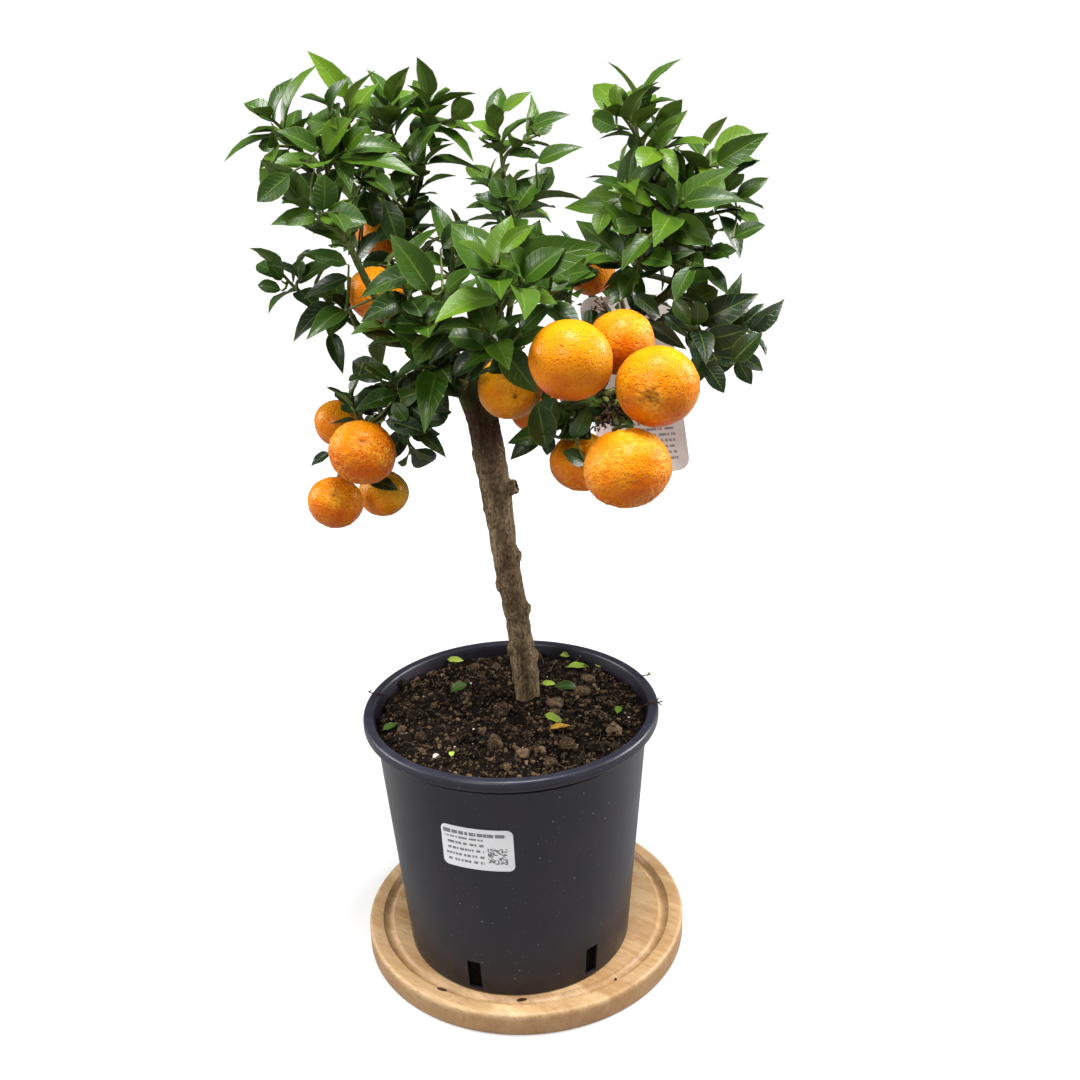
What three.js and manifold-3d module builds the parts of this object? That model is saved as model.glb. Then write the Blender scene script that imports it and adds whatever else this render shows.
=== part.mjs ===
// Chinotto orange tree in a nursery pot that stands on a round wooden board.
// Millimetres, +Z up. The origin is the centre of the board's underside, and the front is -Y.

import * as THREE from "three";
import { mergeVertices } from "three/addons/utils/BufferGeometryUtils.js";
import Module from "manifold-3d";

const wasm = await Module();
wasm.setup();

// Driving dimensions of the board and the pot. The pot stands a little off the board's centre.
const GAP = 0.3;
const WELD = 0.1;
const BOARD = { radius: 116, thickness: 18, edge: 4, groove: 102, grooveWidth: 7.4, grooveDepth: 3 };
const POT_AXIS = new THREE.Vector3(-4.7, -18.9, 0);
const POT = {
  base: BOARD.thickness + GAP,
  height: 179.6,
  footRadius: 78.7,
  neckRadius: 92.5,
  lipRadius: 100,
  lipHeight: 8,
  wall: 1.8,
  floor: 2.5,
  sides: 32,
};
const SLOT = { count: 6, first: -23.3, width: 9.5, bottom: 3.2, top: 26 };
const LABEL = { width: 48, height: 32, corner: 4, azimuth: -16.3, middle: 141, thickness: 0.4 };
const SOIL = {
  gap: 0.5,
  edge: 188.8,
  top: 192,
  rings: [0.92, 0.72, 0.5, 0.26],
  rough: 1.6,
  holeGap: 0.5,
  holeSides: 12,
};
const CLODS = { count: 7, least: 3.5, most: 6.5, reach: 78, clear: 24 };

// Driving dimensions of a leaf blade: the turns are in radians, the rows are shares of its length.
const BLADE = {
  thickness: 0.8,
  width: 0.56,
  fold: 0.3,
  arch: 0.55,
  rows: [0.28, 0.64],
  farWidth: 0.86,
  rib: 0.46,
  clearance: 0.3,
};
const TWIG = { foot: 1.7, root: 1.6, tip: 1.1, sides: 3, seat: 1.4, fork: 2 };
const LEAF_PLACES = [0.34, 0.94];
const GOLDEN_TURN = (137.5 * Math.PI) / 180;
const LIGHT = new THREE.Vector3(0, -0.45, 0.89);
const LIGHT_PULL = 0.6;
const MOST_ROLL = 1.1;
const LIFT = 0.22;
const LAYER = 1.1;
const MARGIN = 1.2;
const TRIES = [
  { turn: 0, lean: 0, scale: 1 },
  { turn: 0.45, lean: 0.1, scale: 1 },
  { turn: -0.45, lean: -0.1, scale: 0.95 },
  { turn: 0.9, lean: 0.25, scale: 0.9 },
  { turn: -0.9, lean: -0.25, scale: 0.9 },
  { turn: 1.5, lean: 0, scale: 0.8 },
  { turn: -1.5, lean: 0.2, scale: 0.75 },
];

// The trunk's centre line with its radius, from its foot in the soil to its head. From here on
// lengths are measured from the pot's axis.
const TRUNK = [
  [12, 19, 150, 8.6],
  [12, 19, 172, 8.6],
  [12, 19, 192, 8.6],
  [10, 19, 220, 8.8],
  [6, 19, 258, 8.4],
  [1.7, 19, 288, 8.6],
  [-0.8, 19, 323, 8.8],
  [-2.9, 19, 351, 9.5],
  [-6.3, 18, 378, 9.3],
  [-11, 17, 400, 9.8],
  [-17, 14, 416, 9],
];
const TRUNK_SIDES = 9;
const LIMB_SIDES = 5;
// Knots and pruned stubs on the trunk: height, compass turn from +X in degrees, radius.
const KNOTS = [
  [223, -8, 5.4],
  [229, 190, 4.2],
  [260, -15, 4.6],
  [298, -10, 4.6],
  [347, -12, 5.4],
  [369, 188, 4.6],
];
// Limbs: centre line, radius at its start and its end.
const LIMBS = {
  left: {
    line: [[-15, 13, 408], [-36, -8, 437], [-49, -27, 452], [-60, -42, 470], [-70, -46, 492], [-81, -38, 517],
      [-92, -25, 537], [-102, -13, 556]],
    radius: [5.6, 2.4],
  },
  leftLow: { line: [[-49, -27, 452], [-69, -12, 452], [-89, 0, 463], [-111, 0, 477]], radius: [2.8, 2] },
  droop: { line: [[-16, 14, 410], [-38, 2, 416], [-59, -10, 412], [-78, -20, 403]], radius: [4, 2.2] },
  back: {
    line: [[-16, 16, 410], [-29, 30, 436], [-40, 40, 465], [-50, 41, 497], [-51, 40, 518], [-42, 40, 538],
      [-38, 40, 561]],
    radius: [6.4, 2.4],
  },
  backLeft: { line: [[-50, 41, 500], [-60, 30, 524], [-68, 20, 545], [-76, 4, 565]], radius: [3.2, 2] },
  middle: {
    line: [[-12, 17, 410], [-4, 32, 438], [5, 42, 466], [11, 50, 499], [9, 50, 541]],
    radius: [5, 2.2],
  },
  front: { line: [[-13, 10, 414], [-13, -22, 441], [-6, -52, 460], [3, -80, 482]], radius: [4.4, 2.2] },
  right: {
    line: [[-8, 16, 406], [16, 20, 421], [40, 20, 430], [62, 8, 444], [82, 0, 457], [106, 0, 473],
      [112, 0, 496], [103, 0, 520], [94, 0, 538], [88, 0, 557]],
    radius: [7, 2.2],
  },
  rightLow: { line: [[104, 0, 472], [118, -3, 466], [137, -4, 456]], radius: [2.8, 2] },
  rightFar: { line: [[111, 0, 490], [118, 2, 510], [120, 1, 533]], radius: [2.8, 2] },
  fruiting: {
    line: [[-8, 14, 398], [13, -8, 407], [34, -29, 411], [52, -52, 418], [62, -74, 430]],
    radius: [5.4, 3.2],
  },
  rearLeft: { line: [[-14, 18, 408], [-34, 52, 434], [-56, 78, 462], [-72, 88, 496]], radius: [4.4, 2] },
  rear: { line: [[-10, 20, 406], [4, 56, 432], [12, 84, 462], [14, 94, 499]], radius: [4.4, 2] },
  rearRight: { line: [[40, 20, 430], [64, 48, 446], [84, 68, 470], [90, 76, 505]], radius: [4, 2] },
};

// Leafy sprays: the limb and the place along it where the branchlet starts, the spray's foot (null
// where the limb's own end is the foot), the tips of its twigs, the leaves on each twig, and the
// length of a full-grown leaf.
const SPRAYS = [
  ["left_outer", "left", 1, null, [[-120, -18, 580], [-116, -24, 564]], [6, 3], 34],
  ["left_peak", "backLeft", 1, null, [[-78, -2, 587], [-86, -22, 578]], [5, 3], 33],
  ["left_back", "back", 0.84, [-54, 32, 560], [[-56, 30, 584], [-66, 26, 574]], [5, 3], 32],
  ["crown_left", "back", 1, null, [[-33, 40, 586], [-20, 42, 572]], [5, 4], 32],
  ["left_front", "left", 0.86, [-90, -24, 546], [[-91, -40, 562], [-77, -36, 561]], [4, 3], 34],
  ["left_mid", "backLeft", 0.62, [-72, 8, 542], [[-66, 0, 560], [-79, -8, 554]], [4, 3], 30],
  ["inner_left", "back", 0.72, [-44, 28, 538], [[-48, 13, 556], [-32, 26, 556]], [5, 3], 30],
  ["side_left", "left", 0.7, [-90, -44, 524], [[-103, -42, 534], [-82, -58, 531]], [4, 3], 34],
  ["low_left", "leftLow", 1, null, [[-126, 0, 494], [-111, -16, 491]], [4, 3], 30],
  ["low_mid", "leftLow", 0.55, [-84, -8, 466], [[-96, -20, 479], [-84, -34, 474]], [4, 3], 34],
  ["droop_front", "droop", 0.72, [-60, -18, 418], [[-72, -32, 434], [-56, -36, 420]], [4, 4], 34],
  ["droop_end", "droop", 1, null, [[-88, -18, 421]], [5], 26],
  ["droop_low", "droop", 0.62, [-56, -18, 404], [[-42, -34, 402], [-54, -24, 386]], [3, 3], 34],
  ["front_left", "left", 0.4, [-52, -38, 474], [[-56, -50, 500], [-46, -60, 484]], [4, 3], 36],
  ["mid_front", "front", 0.5, [-22, -44, 458], [[-39, -64, 472], [-27, -64, 488]], [5, 3], 36],
  ["mid_low", "front", 0.3, [-22, -22, 437], [[-36, -48, 446], [-18, -52, 436]], [5, 3], 36],
  ["rosette", "front", 1, null, [[2, -98, 506], [16, -102, 497]], [6, 4], 42],
  ["rosette_low", "front", 0.8, [2, -72, 462], [[-6, -98, 474], [14, -88, 468]], [5, 3], 38],
  ["centre_left", "back", 0.4, [-32, 34, 480], [[-24, 16, 502], [-20, 42, 506]], [4, 3], 36],
  ["centre_top", "middle", 1, null, [[5, 50, 570], [31, 48, 562]], [6, 4], 30],
  ["centre_mid", "middle", 0.72, [14, 44, 508], [[8, 32, 526], [30, 44, 528]], [5, 4], 32],
  ["centre_low", "middle", 0.42, [14, 34, 474], [[22, 18, 494], [30, 40, 492]], [4, 3], 32],
  ["mid_right", "front", 0.66, [20, -46, 470], [[32, -70, 500], [46, -44, 494]], [5, 4], 34],
  ["gap_leaves", "right", 0.3, [48, 14, 458], [[60, 10, 494], [40, -6, 482]], [4, 3], 30],
  ["right_top", "right", 1, null, [[74, -5, 577], [90, 2, 586]], [6, 4], 34],
  ["right_peak", "right", 0.88, [96, 0, 545], [[102, 6, 568], [96, -22, 556]], [4, 3], 34],
  ["right_left", "right", 0.79, [90, -2, 526], [[77, -24, 538], [68, -10, 524]], [4, 3], 34],
  ["right_stub", "rightFar", 1, null, [[127, 8, 554], [130, -16, 545]], [4, 3], 42],
  ["right_far", "rightFar", 0.6, [127, 2, 516], [[140, 10, 536], [145, -6, 520]], [4, 3], 36],
  ["right_front", "right", 0.66, [106, -8, 508], [[108, -35, 528], [90, -36, 510]], [4, 3], 36],
  ["right_inner", "right", 0.58, [92, -10, 484], [[86, -38, 500], [74, -22, 494]], [4, 3], 36],
  ["right_heart", "right", 0.63, [118, -4, 488], [[124, -20, 505], [112, -34, 494]], [4, 3], 32],
  ["right_low", "rightLow", 0.5, [120, -10, 458], [[118, -30, 456], [130, -24, 436]], [4, 4], 32],
  ["right_end", "rightLow", 1, null, [[156, -6, 446], [144, -16, 432]], [5, 4], 30],
  ["under_fruit", "fruiting", 0.46, [29, -38, 404], [[22, -56, 404], [44, -64, 401]], [3, 3], 36],
  ["rear_left", "rearLeft", 1, null, [[-88, 96, 520], [-60, 96, 526], [-92, 72, 506]], [4, 3, 3], 36],
  ["rear", "rear", 1, null, [[0, 102, 528], [32, 100, 520], [10, 112, 504]], [4, 3, 3], 36],
  ["rear_right", "rearRight", 1, null, [[84, 84, 536], [104, 76, 528], [98, 92, 518]], [4, 3, 3], 36],
];

// Fruit: centre, width, the way to its stem end, the limb that carries it and the place along it,
// the bend of its stalk, and how many fruit radii stay free of leaves before it.
const FRUIT = [
  [[-81, -40, 391], 40, [0.25, 0.85, 0.47], "droop", 0.96, null, 2],
  [[-102, -24, 355], 34, [0.1, 0.75, 0.6], "droop", 0.92, [-95, -4, 392], 2],
  [[-99, 4, 397], 32, [0.5, 0.1, 0.85], "droop", 0.85, [-82, 2, 418], 0],
  [[-75, 2, 351], 32, [-0.1, 0.2, 0.97], "droop", 0.9, [-75, 4, 392], 0],
  [[-67, -20, 480], 35, [0.3, 0.35, 0.89], "back", 0.48, [-56, 6, 506], 2],
  [[-69, 60, 505], 34, [0.4, -0.2, 0.89], "back", 0.62, [-58, 54, 530], 0],
  [[40, -100, 455], 45.4, [0.35, 0.75, 0.56], "fruiting", 0.8, [58, -66, 452], 2],
  [[71, -55, 454], 39, [-0.2, 0.72, 0.66], "right", 0.34, [60, -22, 470], 1],
  [[87, -95, 438], 45.6, [0.05, 0.86, 0.5], "fruiting", 0.96, [82, -64, 436], 2],
  [[70, -100, 394], 48.4, [-0.15, 0.35, 0.92], "fruiting", 0.93, [62, -86, 428], 2],
  [[49, -40, 380], 39, [0.05, 0.3, 0.95], "fruiting", 0.62, null, 0],
  [[8, -32, 425], 39, [-0.3, 0.9, 0.3], "front", 0.1, [-4, 0, 430], 1],
  [[23, 10, 400], 31, [-0.35, 0.4, 0.85], "right", 0.12, null, 0],
  [[62, 42, 480], 32, [0.75, 0.2, -0.63], "right", 0.42, [84, 30, 462], 0],
];
const FRUIT_FORM = { squash: 0.9, sides: 9, rows: 6 };
const CALYX = { radius: 4.2, height: 2, sides: 4, stalk: 1.3 };

// The plant tag hangs in the crown by a strap round the right limb.
const TAG = {
  width: 50,
  height: 108,
  thickness: 0.8,
  corner: 8,
  centre: [90, 13, 411],
  turns: [-0.46, 0.03, 0.24],
};
const STRAP = { limb: "right", at: 0.49, slack: 0.7, inner: 6.4, reach: 40, width: 4, thickness: 1 };

// Leaves that have dropped on the soil: place from the pot's axis, compass turn, length, colour.
const FALLEN = [
  [[24, -34], 0.4, 20, 0xb99a3a],
  [[40, 62], 0.1, 24, 0x6f9a3c],
];

const material = (colour, roughness, metalness = 0) =>
  new THREE.MeshStandardMaterial({ color: colour, roughness, metalness });
const vector = ([x, y, z]) => new THREE.Vector3(x, y, z);
const at = (origin, way, length) => origin.clone().addScaledVector(way, length);

// A closed solid from a geometry, and a geometry from a solid.
function solid(geometry) {
  const bare = geometry.clone();
  bare.deleteAttribute("normal");
  bare.deleteAttribute("uv");
  const merged = mergeVertices(bare);
  const mesh = new wasm.Mesh({
    numProp: 3,
    vertProperties: merged.attributes.position.array,
    triVerts: Uint32Array.from(merged.index.array),
  });
  return new wasm.Manifold(mesh);
}

function geometryOf(body) {
  const mesh = body.getMesh();
  const geometry = new THREE.BufferGeometry();
  geometry.setAttribute("position", new THREE.BufferAttribute(mesh.vertProperties, 3));
  geometry.setIndex(new THREE.BufferAttribute(mesh.triVerts, 1));
  geometry.computeVertexNormals();
  return geometry;
}

// Bodies that grow together become one, without loose scraps and with its least facets cleaned.
function grown(bodies) {
  const whole = wasm.Manifold.union(bodies).simplify(WELD);
  const pieces = whole.decompose().sort((a, b) => b.volume() - a.volume());
  return pieces[0];
}

const model = new THREE.Group();
const plantAndPot = new THREE.Group();
plantAndPot.position.copy(POT_AXIS);
model.add(plantAndPot);

function addMesh(parent, name, geometry, colour, roughness) {
  const mesh = new THREE.Mesh(geometry, material(colour, roughness));
  mesh.name = name;
  parent.add(mesh);
  return mesh;
}

// A turned solid about Z from a profile of [radius, height] that goes up outside and down inside.
function turned(profile, sides) {
  const outline = profile.map(([radius, height]) => new THREE.Vector2(radius, height));
  return new THREE.LatheGeometry(outline, sides).rotateX(Math.PI / 2);
}

// Board: a turned disc with rounded edges and a juice groove near its rim.
const grooveIn = BOARD.groove - BOARD.grooveWidth / 2;
const grooveOut = BOARD.groove + BOARD.grooveWidth / 2;
const boardProfile = [
  [0, 0],
  [BOARD.radius - BOARD.edge, 0],
  [BOARD.radius, BOARD.edge],
  [BOARD.radius, BOARD.thickness - BOARD.edge],
  [BOARD.radius - BOARD.edge, BOARD.thickness],
  [grooveOut, BOARD.thickness],
  [BOARD.groove + BOARD.grooveWidth / 5, BOARD.thickness - BOARD.grooveDepth],
  [BOARD.groove - BOARD.grooveWidth / 5, BOARD.thickness - BOARD.grooveDepth],
  [grooveIn, BOARD.thickness],
  [0, BOARD.thickness],
];
addMesh(model, "board", turned(boardProfile, POT.sides), 0xd9b383, 0.6);

// Pot: one moulding with a tapered wall, a ridge and a rolled lip, and drainage slots at its foot.
const lipFoot = POT.height - POT.lipHeight;
const potProfile = [
  [0, 0],
  [POT.footRadius, 0],
  [POT.neckRadius, lipFoot - 1],
  [POT.neckRadius + 1.5, lipFoot],
  [POT.lipRadius - 1.2, lipFoot + 0.2],
  [POT.lipRadius, lipFoot + 1.6],
  [POT.lipRadius, POT.height - 1.8],
  [POT.lipRadius - 2.6, POT.height],
  [POT.neckRadius + 1.1, POT.height - 0.4],
  [POT.neckRadius, POT.height - 2],
  [POT.neckRadius - POT.wall, lipFoot - 1],
  [POT.footRadius - POT.wall, POT.floor],
  [0, POT.floor],
];
let pot = solid(turned(potProfile, POT.sides));
for (let i = 0; i < SLOT.count; i += 1) {
  const slot = new THREE.BoxGeometry(SLOT.width, 24, SLOT.top - SLOT.bottom);
  slot.translate(0, -POT.footRadius, (SLOT.top + SLOT.bottom) / 2);
  slot.rotateZ(((SLOT.first + (360 * i) / SLOT.count) * Math.PI) / 180);
  pot = pot.subtract(solid(slot));
}
addMesh(plantAndPot, "pot", geometryOf(pot), 0x2b2b31, 0.5).position.z = POT.base;

// Label: a rounded rectangle cut from a thin shell that lies round the pot's wall.
const wallAt = (height) =>
  THREE.MathUtils.mapLinear(height, 0, lipFoot - 1, POT.footRadius, POT.neckRadius);
const labelLow = LABEL.middle - LABEL.height - POT.base;
const labelHigh = LABEL.middle + LABEL.height - POT.base;
const shellProfile = [
  [wallAt(labelLow) + GAP, labelLow],
  [wallAt(labelLow) + GAP + LABEL.thickness, labelLow],
  [wallAt(labelHigh) + GAP + LABEL.thickness, labelHigh],
  [wallAt(labelHigh) + GAP, labelHigh],
  [wallAt(labelLow) + GAP, labelLow],
];
function roundedRectangle(width, height, corner) {
  const [x, y] = [width / 2, height / 2];
  const outline = new THREE.Shape();
  outline.moveTo(-x + corner, -y);
  outline.lineTo(x - corner, -y);
  outline.absarc(x - corner, -y + corner, corner, -Math.PI / 2, 0);
  outline.absarc(x - corner, y - corner, corner, 0, Math.PI / 2);
  outline.absarc(-x + corner, y - corner, corner, Math.PI / 2, Math.PI);
  outline.absarc(-x + corner, -y + corner, corner, Math.PI, 1.5 * Math.PI);
  return outline;
}
const cutter = new THREE.ExtrudeGeometry(roundedRectangle(LABEL.width, LABEL.height, LABEL.corner), {
  depth: 40,
  bevelEnabled: false,
  curveSegments: 2,
});
cutter.rotateX(Math.PI / 2);
cutter.translate(0, -70, LABEL.middle - POT.base);
cutter.rotateZ((LABEL.azimuth * Math.PI) / 180);
const label = solid(turned(shellProfile, POT.sides)).intersect(solid(cutter));
addMesh(plantAndPot, "pot_label", geometryOf(label), 0xf4f4f2, 0.6).position.z = POT.base;

// Tubes: a cylinder whose rings follow a line of points, with a radius for each point.
function tubeAlong(points, radii, sides) {
  const steps = points.length - 1;
  const geometry = new THREE.CylinderGeometry(1, 1, 1, sides, steps);
  const tangents = points.map((point, i) =>
    points[Math.min(i + 1, steps)].clone().sub(points[Math.max(i - 1, 0)]).normalize());
  let across = new THREE.Vector3(1, 0, 0);
  if (Math.abs(tangents[0].x) > 0.8) across.set(0, 1, 0);
  const frames = tangents.map((tangent) => {
    across = at(across, tangent, -across.dot(tangent)).normalize();
    return [across, tangent.clone().cross(across)];
  });
  const positions = geometry.attributes.position;
  for (let i = 0; i < positions.count; i += 1) {
    const step = Math.round((positions.getY(i) + 0.5) * steps);
    const place = at(points[step], frames[step][0], positions.getZ(i) * radii[step]);
    place.addScaledVector(frames[step][1], positions.getX(i) * radii[step]);
    positions.setXYZ(i, place.x, place.y, place.z);
  }
  return geometry;
}

function smoothLine(points) {
  return new THREE.CatmullRomCurve3(points.map(vector), false, "catmullrom", 0.5);
}

const tubes = [];
function addTube(owner, points, radii, sides) {
  for (let i = 1; i < points.length; i += 1) {
    tubes.push({ owner, from: points[i - 1], to: points[i], radius: Math.max(radii[i - 1], radii[i]) });
  }
  return solid(tubeAlong(points, radii, sides));
}

// Tree: trunk, knots and limbs.
const wood = [];
const trunkLine = smoothLine(TRUNK);
const trunkPoints = trunkLine.getPoints(TRUNK.length - 1);
wood.push(addTube("tree", trunkPoints, TRUNK.map((row) => row[3]), TRUNK_SIDES));
const trunkAt = (height) => {
  let i = 1;
  while (trunkPoints[i].z < height) i += 1;
  const share = (height - trunkPoints[i - 1].z) / (trunkPoints[i].z - trunkPoints[i - 1].z);
  return trunkPoints[i - 1].clone().lerp(trunkPoints[i], share);
};
for (const [height, turn, radius] of KNOTS) {
  const azimuth = (turn * Math.PI) / 180;
  const out = new THREE.Vector3(Math.cos(azimuth), Math.sin(azimuth), 0.1);
  const knot = new THREE.SphereGeometry(radius, 5, 3);
  const place = at(trunkAt(height), out, 9 - radius * 0.45);
  wood.push(solid(knot.translate(place.x, place.y, place.z)));
}
const limbLines = {};
for (const [name, limb] of Object.entries(LIMBS)) {
  limbLines[name] = smoothLine(limb.line);
  const steps = limb.line.length - 1;
  const points = limbLines[name].getPoints(steps);
  const radii = points.map((point, i) => THREE.MathUtils.lerp(limb.radius[0], limb.radius[1], i / steps));
  wood.push(addTube("tree", points, radii, LIMB_SIDES));
}

// Fruit: a squashed sphere under a calyx disc at the end of its stalk.
const fruitBodies = [];
const keepOut = [];
FRUIT.forEach(([centre, width, stemWay, limb, place, bend, free], i) => {
  const middle = vector(centre);
  const up = vector(stemWay).normalize();
  const turn = new THREE.Quaternion().setFromUnitVectors(new THREE.Vector3(0, 1, 0), up);
  const radius = width / 2;
  const fruit = new THREE.SphereGeometry(radius, FRUIT_FORM.sides, FRUIT_FORM.rows);
  fruit.scale(1, FRUIT_FORM.squash, 1).applyQuaternion(turn).translate(...centre);
  const name = `fruit_${String(i + 1).padStart(2, "0")}`;
  addMesh(plantAndPot, name, fruit, 0xf59a12, 0.45);
  fruitBodies.push(solid(fruit));
  keepOut.push({ centre: middle, radius });
  const before = new THREE.Vector3(0, -0.8, 0.6);
  for (let k = 1; k <= free; k += 1) {
    keepOut.push({ centre: at(middle, before, k * radius), radius: radius * 0.9 });
  }

  const rest = at(middle, up, radius * FRUIT_FORM.squash + GAP);
  const seat = at(rest, up, CALYX.height);
  const start = limbLines[limb].getPoint(place);
  const middleOfStalk = bend ? vector(bend) : start.clone().lerp(seat, 0.5);
  const stalk = new THREE.QuadraticBezierCurve3(start, middleOfStalk, seat).getPoints(2);
  const line = [...stalk, at(rest, up, CALYX.height * 0.6), rest];
  const radii = [CALYX.stalk, CALYX.stalk, CALYX.stalk, CALYX.radius * 0.8, CALYX.radius];
  wood.push(addTube("tree", line, radii, CALYX.sides));
});

// A branchlet leads from the limb to the foot of its spray, or the limb's own end is the foot. Each
// twig of a spray is a tube of its own, and the first starts just off the flat end of the wood.
const sprays = SPRAYS.map(([name, limb, place, footPlace, tips, leaves, leafLength]) => {
  const start = limbLines[limb].getPoint(place);
  const foot = footPlace ? vector(footPlace) : start;
  const way = footPlace ? foot.clone().sub(start).normalize() : limbLines[limb].getTangent(1);
  if (footPlace) wood.push(addTube("tree", [start, foot], [TWIG.foot + 0.3, TWIG.foot], TWIG.sides));
  const root = at(foot, way, GAP);
  const lines = tips.map((tipPlace, k) => {
    const tip = vector(tipPlace);
    const from = k === 0 ? root : at(root, way, TWIG.fork);
    return new THREE.QuadraticBezierCurve3(from, at(from, way, from.distanceTo(tip) * 0.4), tip);
  });
  lines.forEach((line) => {
    const points = line.getPoints(2);
    for (let i = 1; i < points.length; i += 1) {
      tubes.push({ owner: name, from: points[i - 1], to: points[i], radius: TWIG.root });
    }
  });
  return { name, lines, leaves, leafLength };
});

// Tag: a rounded card, and a strap that goes through it and loosely round the limb.
const card = new THREE.ExtrudeGeometry(roundedRectangle(TAG.width, TAG.height, TAG.corner), {
  depth: TAG.thickness,
  bevelEnabled: false,
  curveSegments: 2,
});
card.translate(0, 0, -TAG.thickness / 2).rotateX(Math.PI / 2 + TAG.turns[0]);
card.rotateY(TAG.turns[1]).rotateZ(TAG.turns[2]).translate(...TAG.centre);
function stadium(Path, radius) {
  const right = Math.PI / 2;
  return new Path().absarc(0, 0, radius, right, 3 * right).absarc(STRAP.reach, 0, radius, -right, right);
}
const loop = stadium(THREE.Shape, STRAP.inner + STRAP.thickness);
loop.holes.push(stadium(THREE.Path, STRAP.inner));
const strap = new THREE.ExtrudeGeometry(loop, { depth: STRAP.width, bevelEnabled: false, curveSegments: 2 });
const limbWay = limbLines[STRAP.limb].getTangent(STRAP.at);
const limbUp = new THREE.Vector3(0, 0, 1).addScaledVector(limbWay, -limbWay.z).normalize();
const limbSide = limbUp.clone().cross(limbWay);
const [limbFrom, limbTo] = LIMBS[STRAP.limb].radius;
const strapDrop = STRAP.inner - THREE.MathUtils.lerp(limbFrom, limbTo, STRAP.at) - STRAP.slack;
const strapPlace = at(limbLines[STRAP.limb].getPoint(STRAP.at), limbUp, -strapDrop);
strap.translate(0, 0, -STRAP.width / 2);
strap.applyMatrix4(new THREE.Matrix4().makeBasis(limbSide, limbUp, limbWay).setPosition(strapPlace));
const tag = solid(card).add(solid(strap));
addMesh(plantAndPot, "plant_tag", geometryOf(tag), 0xe8e8e4, 0.5);

// Seeded draws, the same each run.
let seed = 4711;
function draw() {
  seed = (seed * 16807) % 2147483647;
  return seed / 2147483647;
}

// A blade has seven points: foot, left pair, tip, right pair, and one on the folded midrib.
const RIB = 6;
const OUTLINE = [0, 5, 4, 3, 2, 1];
function bladePoints(foot, way, face, length) {
  const across = way.clone().cross(face);
  const spot = (share, side, lift) => {
    const turn = BLADE.arch * share;
    const along = (length * Math.sin(turn)) / BLADE.arch;
    const down = (length * (1 - Math.cos(turn))) / BLADE.arch;
    const point = at(foot, way, along + lift * Math.sin(turn));
    point.addScaledVector(face, lift * Math.cos(turn) - down);
    return point.addScaledVector(across, side);
  };
  const [near, far] = BLADE.rows;
  const half = (length * BLADE.width * Math.cos(BLADE.fold)) / 2;
  const lift = (length * BLADE.width * Math.sin(BLADE.fold)) / 2;
  return [
    spot(0, 0, 0),
    spot(near, -half, lift),
    spot(far, -half * BLADE.farWidth, lift * BLADE.farWidth),
    spot(1, 0, 0),
    spot(far, half * BLADE.farWidth, lift * BLADE.farWidth),
    spot(near, half, lift),
    spot(BLADE.rib, 0, 0),
  ];
}

// What a blade is tested with: its facets, and the lines along its edges and across its thickness.
function bladeTest(owner, points, normal) {
  const facets = [];
  const lines = points.slice(1).map((p) => [at(p, normal, -LAYER), at(p, normal, LAYER)]);
  OUTLINE.forEach((a, i) => {
    const b = OUTLINE[(i + 1) % OUTLINE.length];
    facets.push([points[RIB], points[a], points[b]]);
    lines.push([points[a], points[b]], [points[a], points[RIB]]);
  });
  const centre = points[RIB];
  const reach = Math.max(...points.map((p) => p.distanceTo(centre)));
  return { owner, points, facets, lines, centre, reach };
}

// True where a line from a to b goes through a facet.
function pierces([a, b], [p, q, r]) {
  const way = b.clone().sub(a);
  const first = q.clone().sub(p);
  const second = r.clone().sub(p);
  const across = way.clone().cross(second);
  const size = first.dot(across);
  if (Math.abs(size) < 1e-9) return false;
  const from = a.clone().sub(p);
  const u = from.dot(across) / size;
  if (u < 0 || u > 1) return false;
  from.cross(first);
  const w = way.dot(from) / size;
  if (w < 0 || u + w > 1) return false;
  const t = second.dot(from) / size;
  return t >= 0 && t <= 1;
}

function bladesCross(one, other) {
  if (one.centre.distanceTo(other.centre) > one.reach + other.reach) return false;
  return one.lines.some((line) => other.facets.some((facet) => pierces(line, facet))) ||
    other.lines.some((line) => one.facets.some((facet) => pierces(line, facet)));
}

function distanceToLine(point, from, to) {
  const way = to.clone().sub(from);
  const share = THREE.MathUtils.clamp(point.clone().sub(from).dot(way) / way.lengthSq(), 0, 1);
  return point.distanceTo(at(from, way, share));
}

// A blade is clear when it keeps off the fruit, other sprays' wood and every blade before it.
const blades = [];
function isClear(blade) {
  const spots = [...blade.points];
  blade.lines.slice(blade.points.length - 1).forEach(([a, b]) => spots.push(a.clone().lerp(b, 0.5)));
  const inFruit = ({ centre, radius }) => spots.some((p) => p.distanceTo(centre) < radius + MARGIN);
  if (keepOut.some(inFruit)) return false;
  for (const tube of tubes) {
    if (tube.owner === blade.owner) continue;
    if (distanceToLine(blade.centre, tube.from, tube.to) > blade.reach + tube.radius + MARGIN) continue;
    if (spots.some((p) => distanceToLine(p, tube.from, tube.to) < tube.radius + MARGIN)) return false;
    if (blade.facets.some((facet) => pierces([tube.from, tube.to], facet))) return false;
  }
  return !blades.some((other) => bladesCross(blade, other));
}

// The frame of a twig at a share of its length: its way, and two directions across it.
function twigFrame(line, share) {
  const tangent = line.getTangent(share);
  const side = new THREE.Vector3(0, 0, 1).cross(line.v2.clone().sub(line.v0).normalize());
  if (side.length() < 0.3) side.set(1, 0, 0);
  side.addScaledVector(tangent, -side.dot(tangent)).normalize();
  return { tangent, side, front: tangent.clone().cross(side) };
}

const radial = ({ side, front }, turn) =>
  side.clone().multiplyScalar(Math.cos(turn)).addScaledVector(front, Math.sin(turn));
const twigRadius = (share) => THREE.MathUtils.lerp(TWIG.root, TWIG.tip, share);

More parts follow.
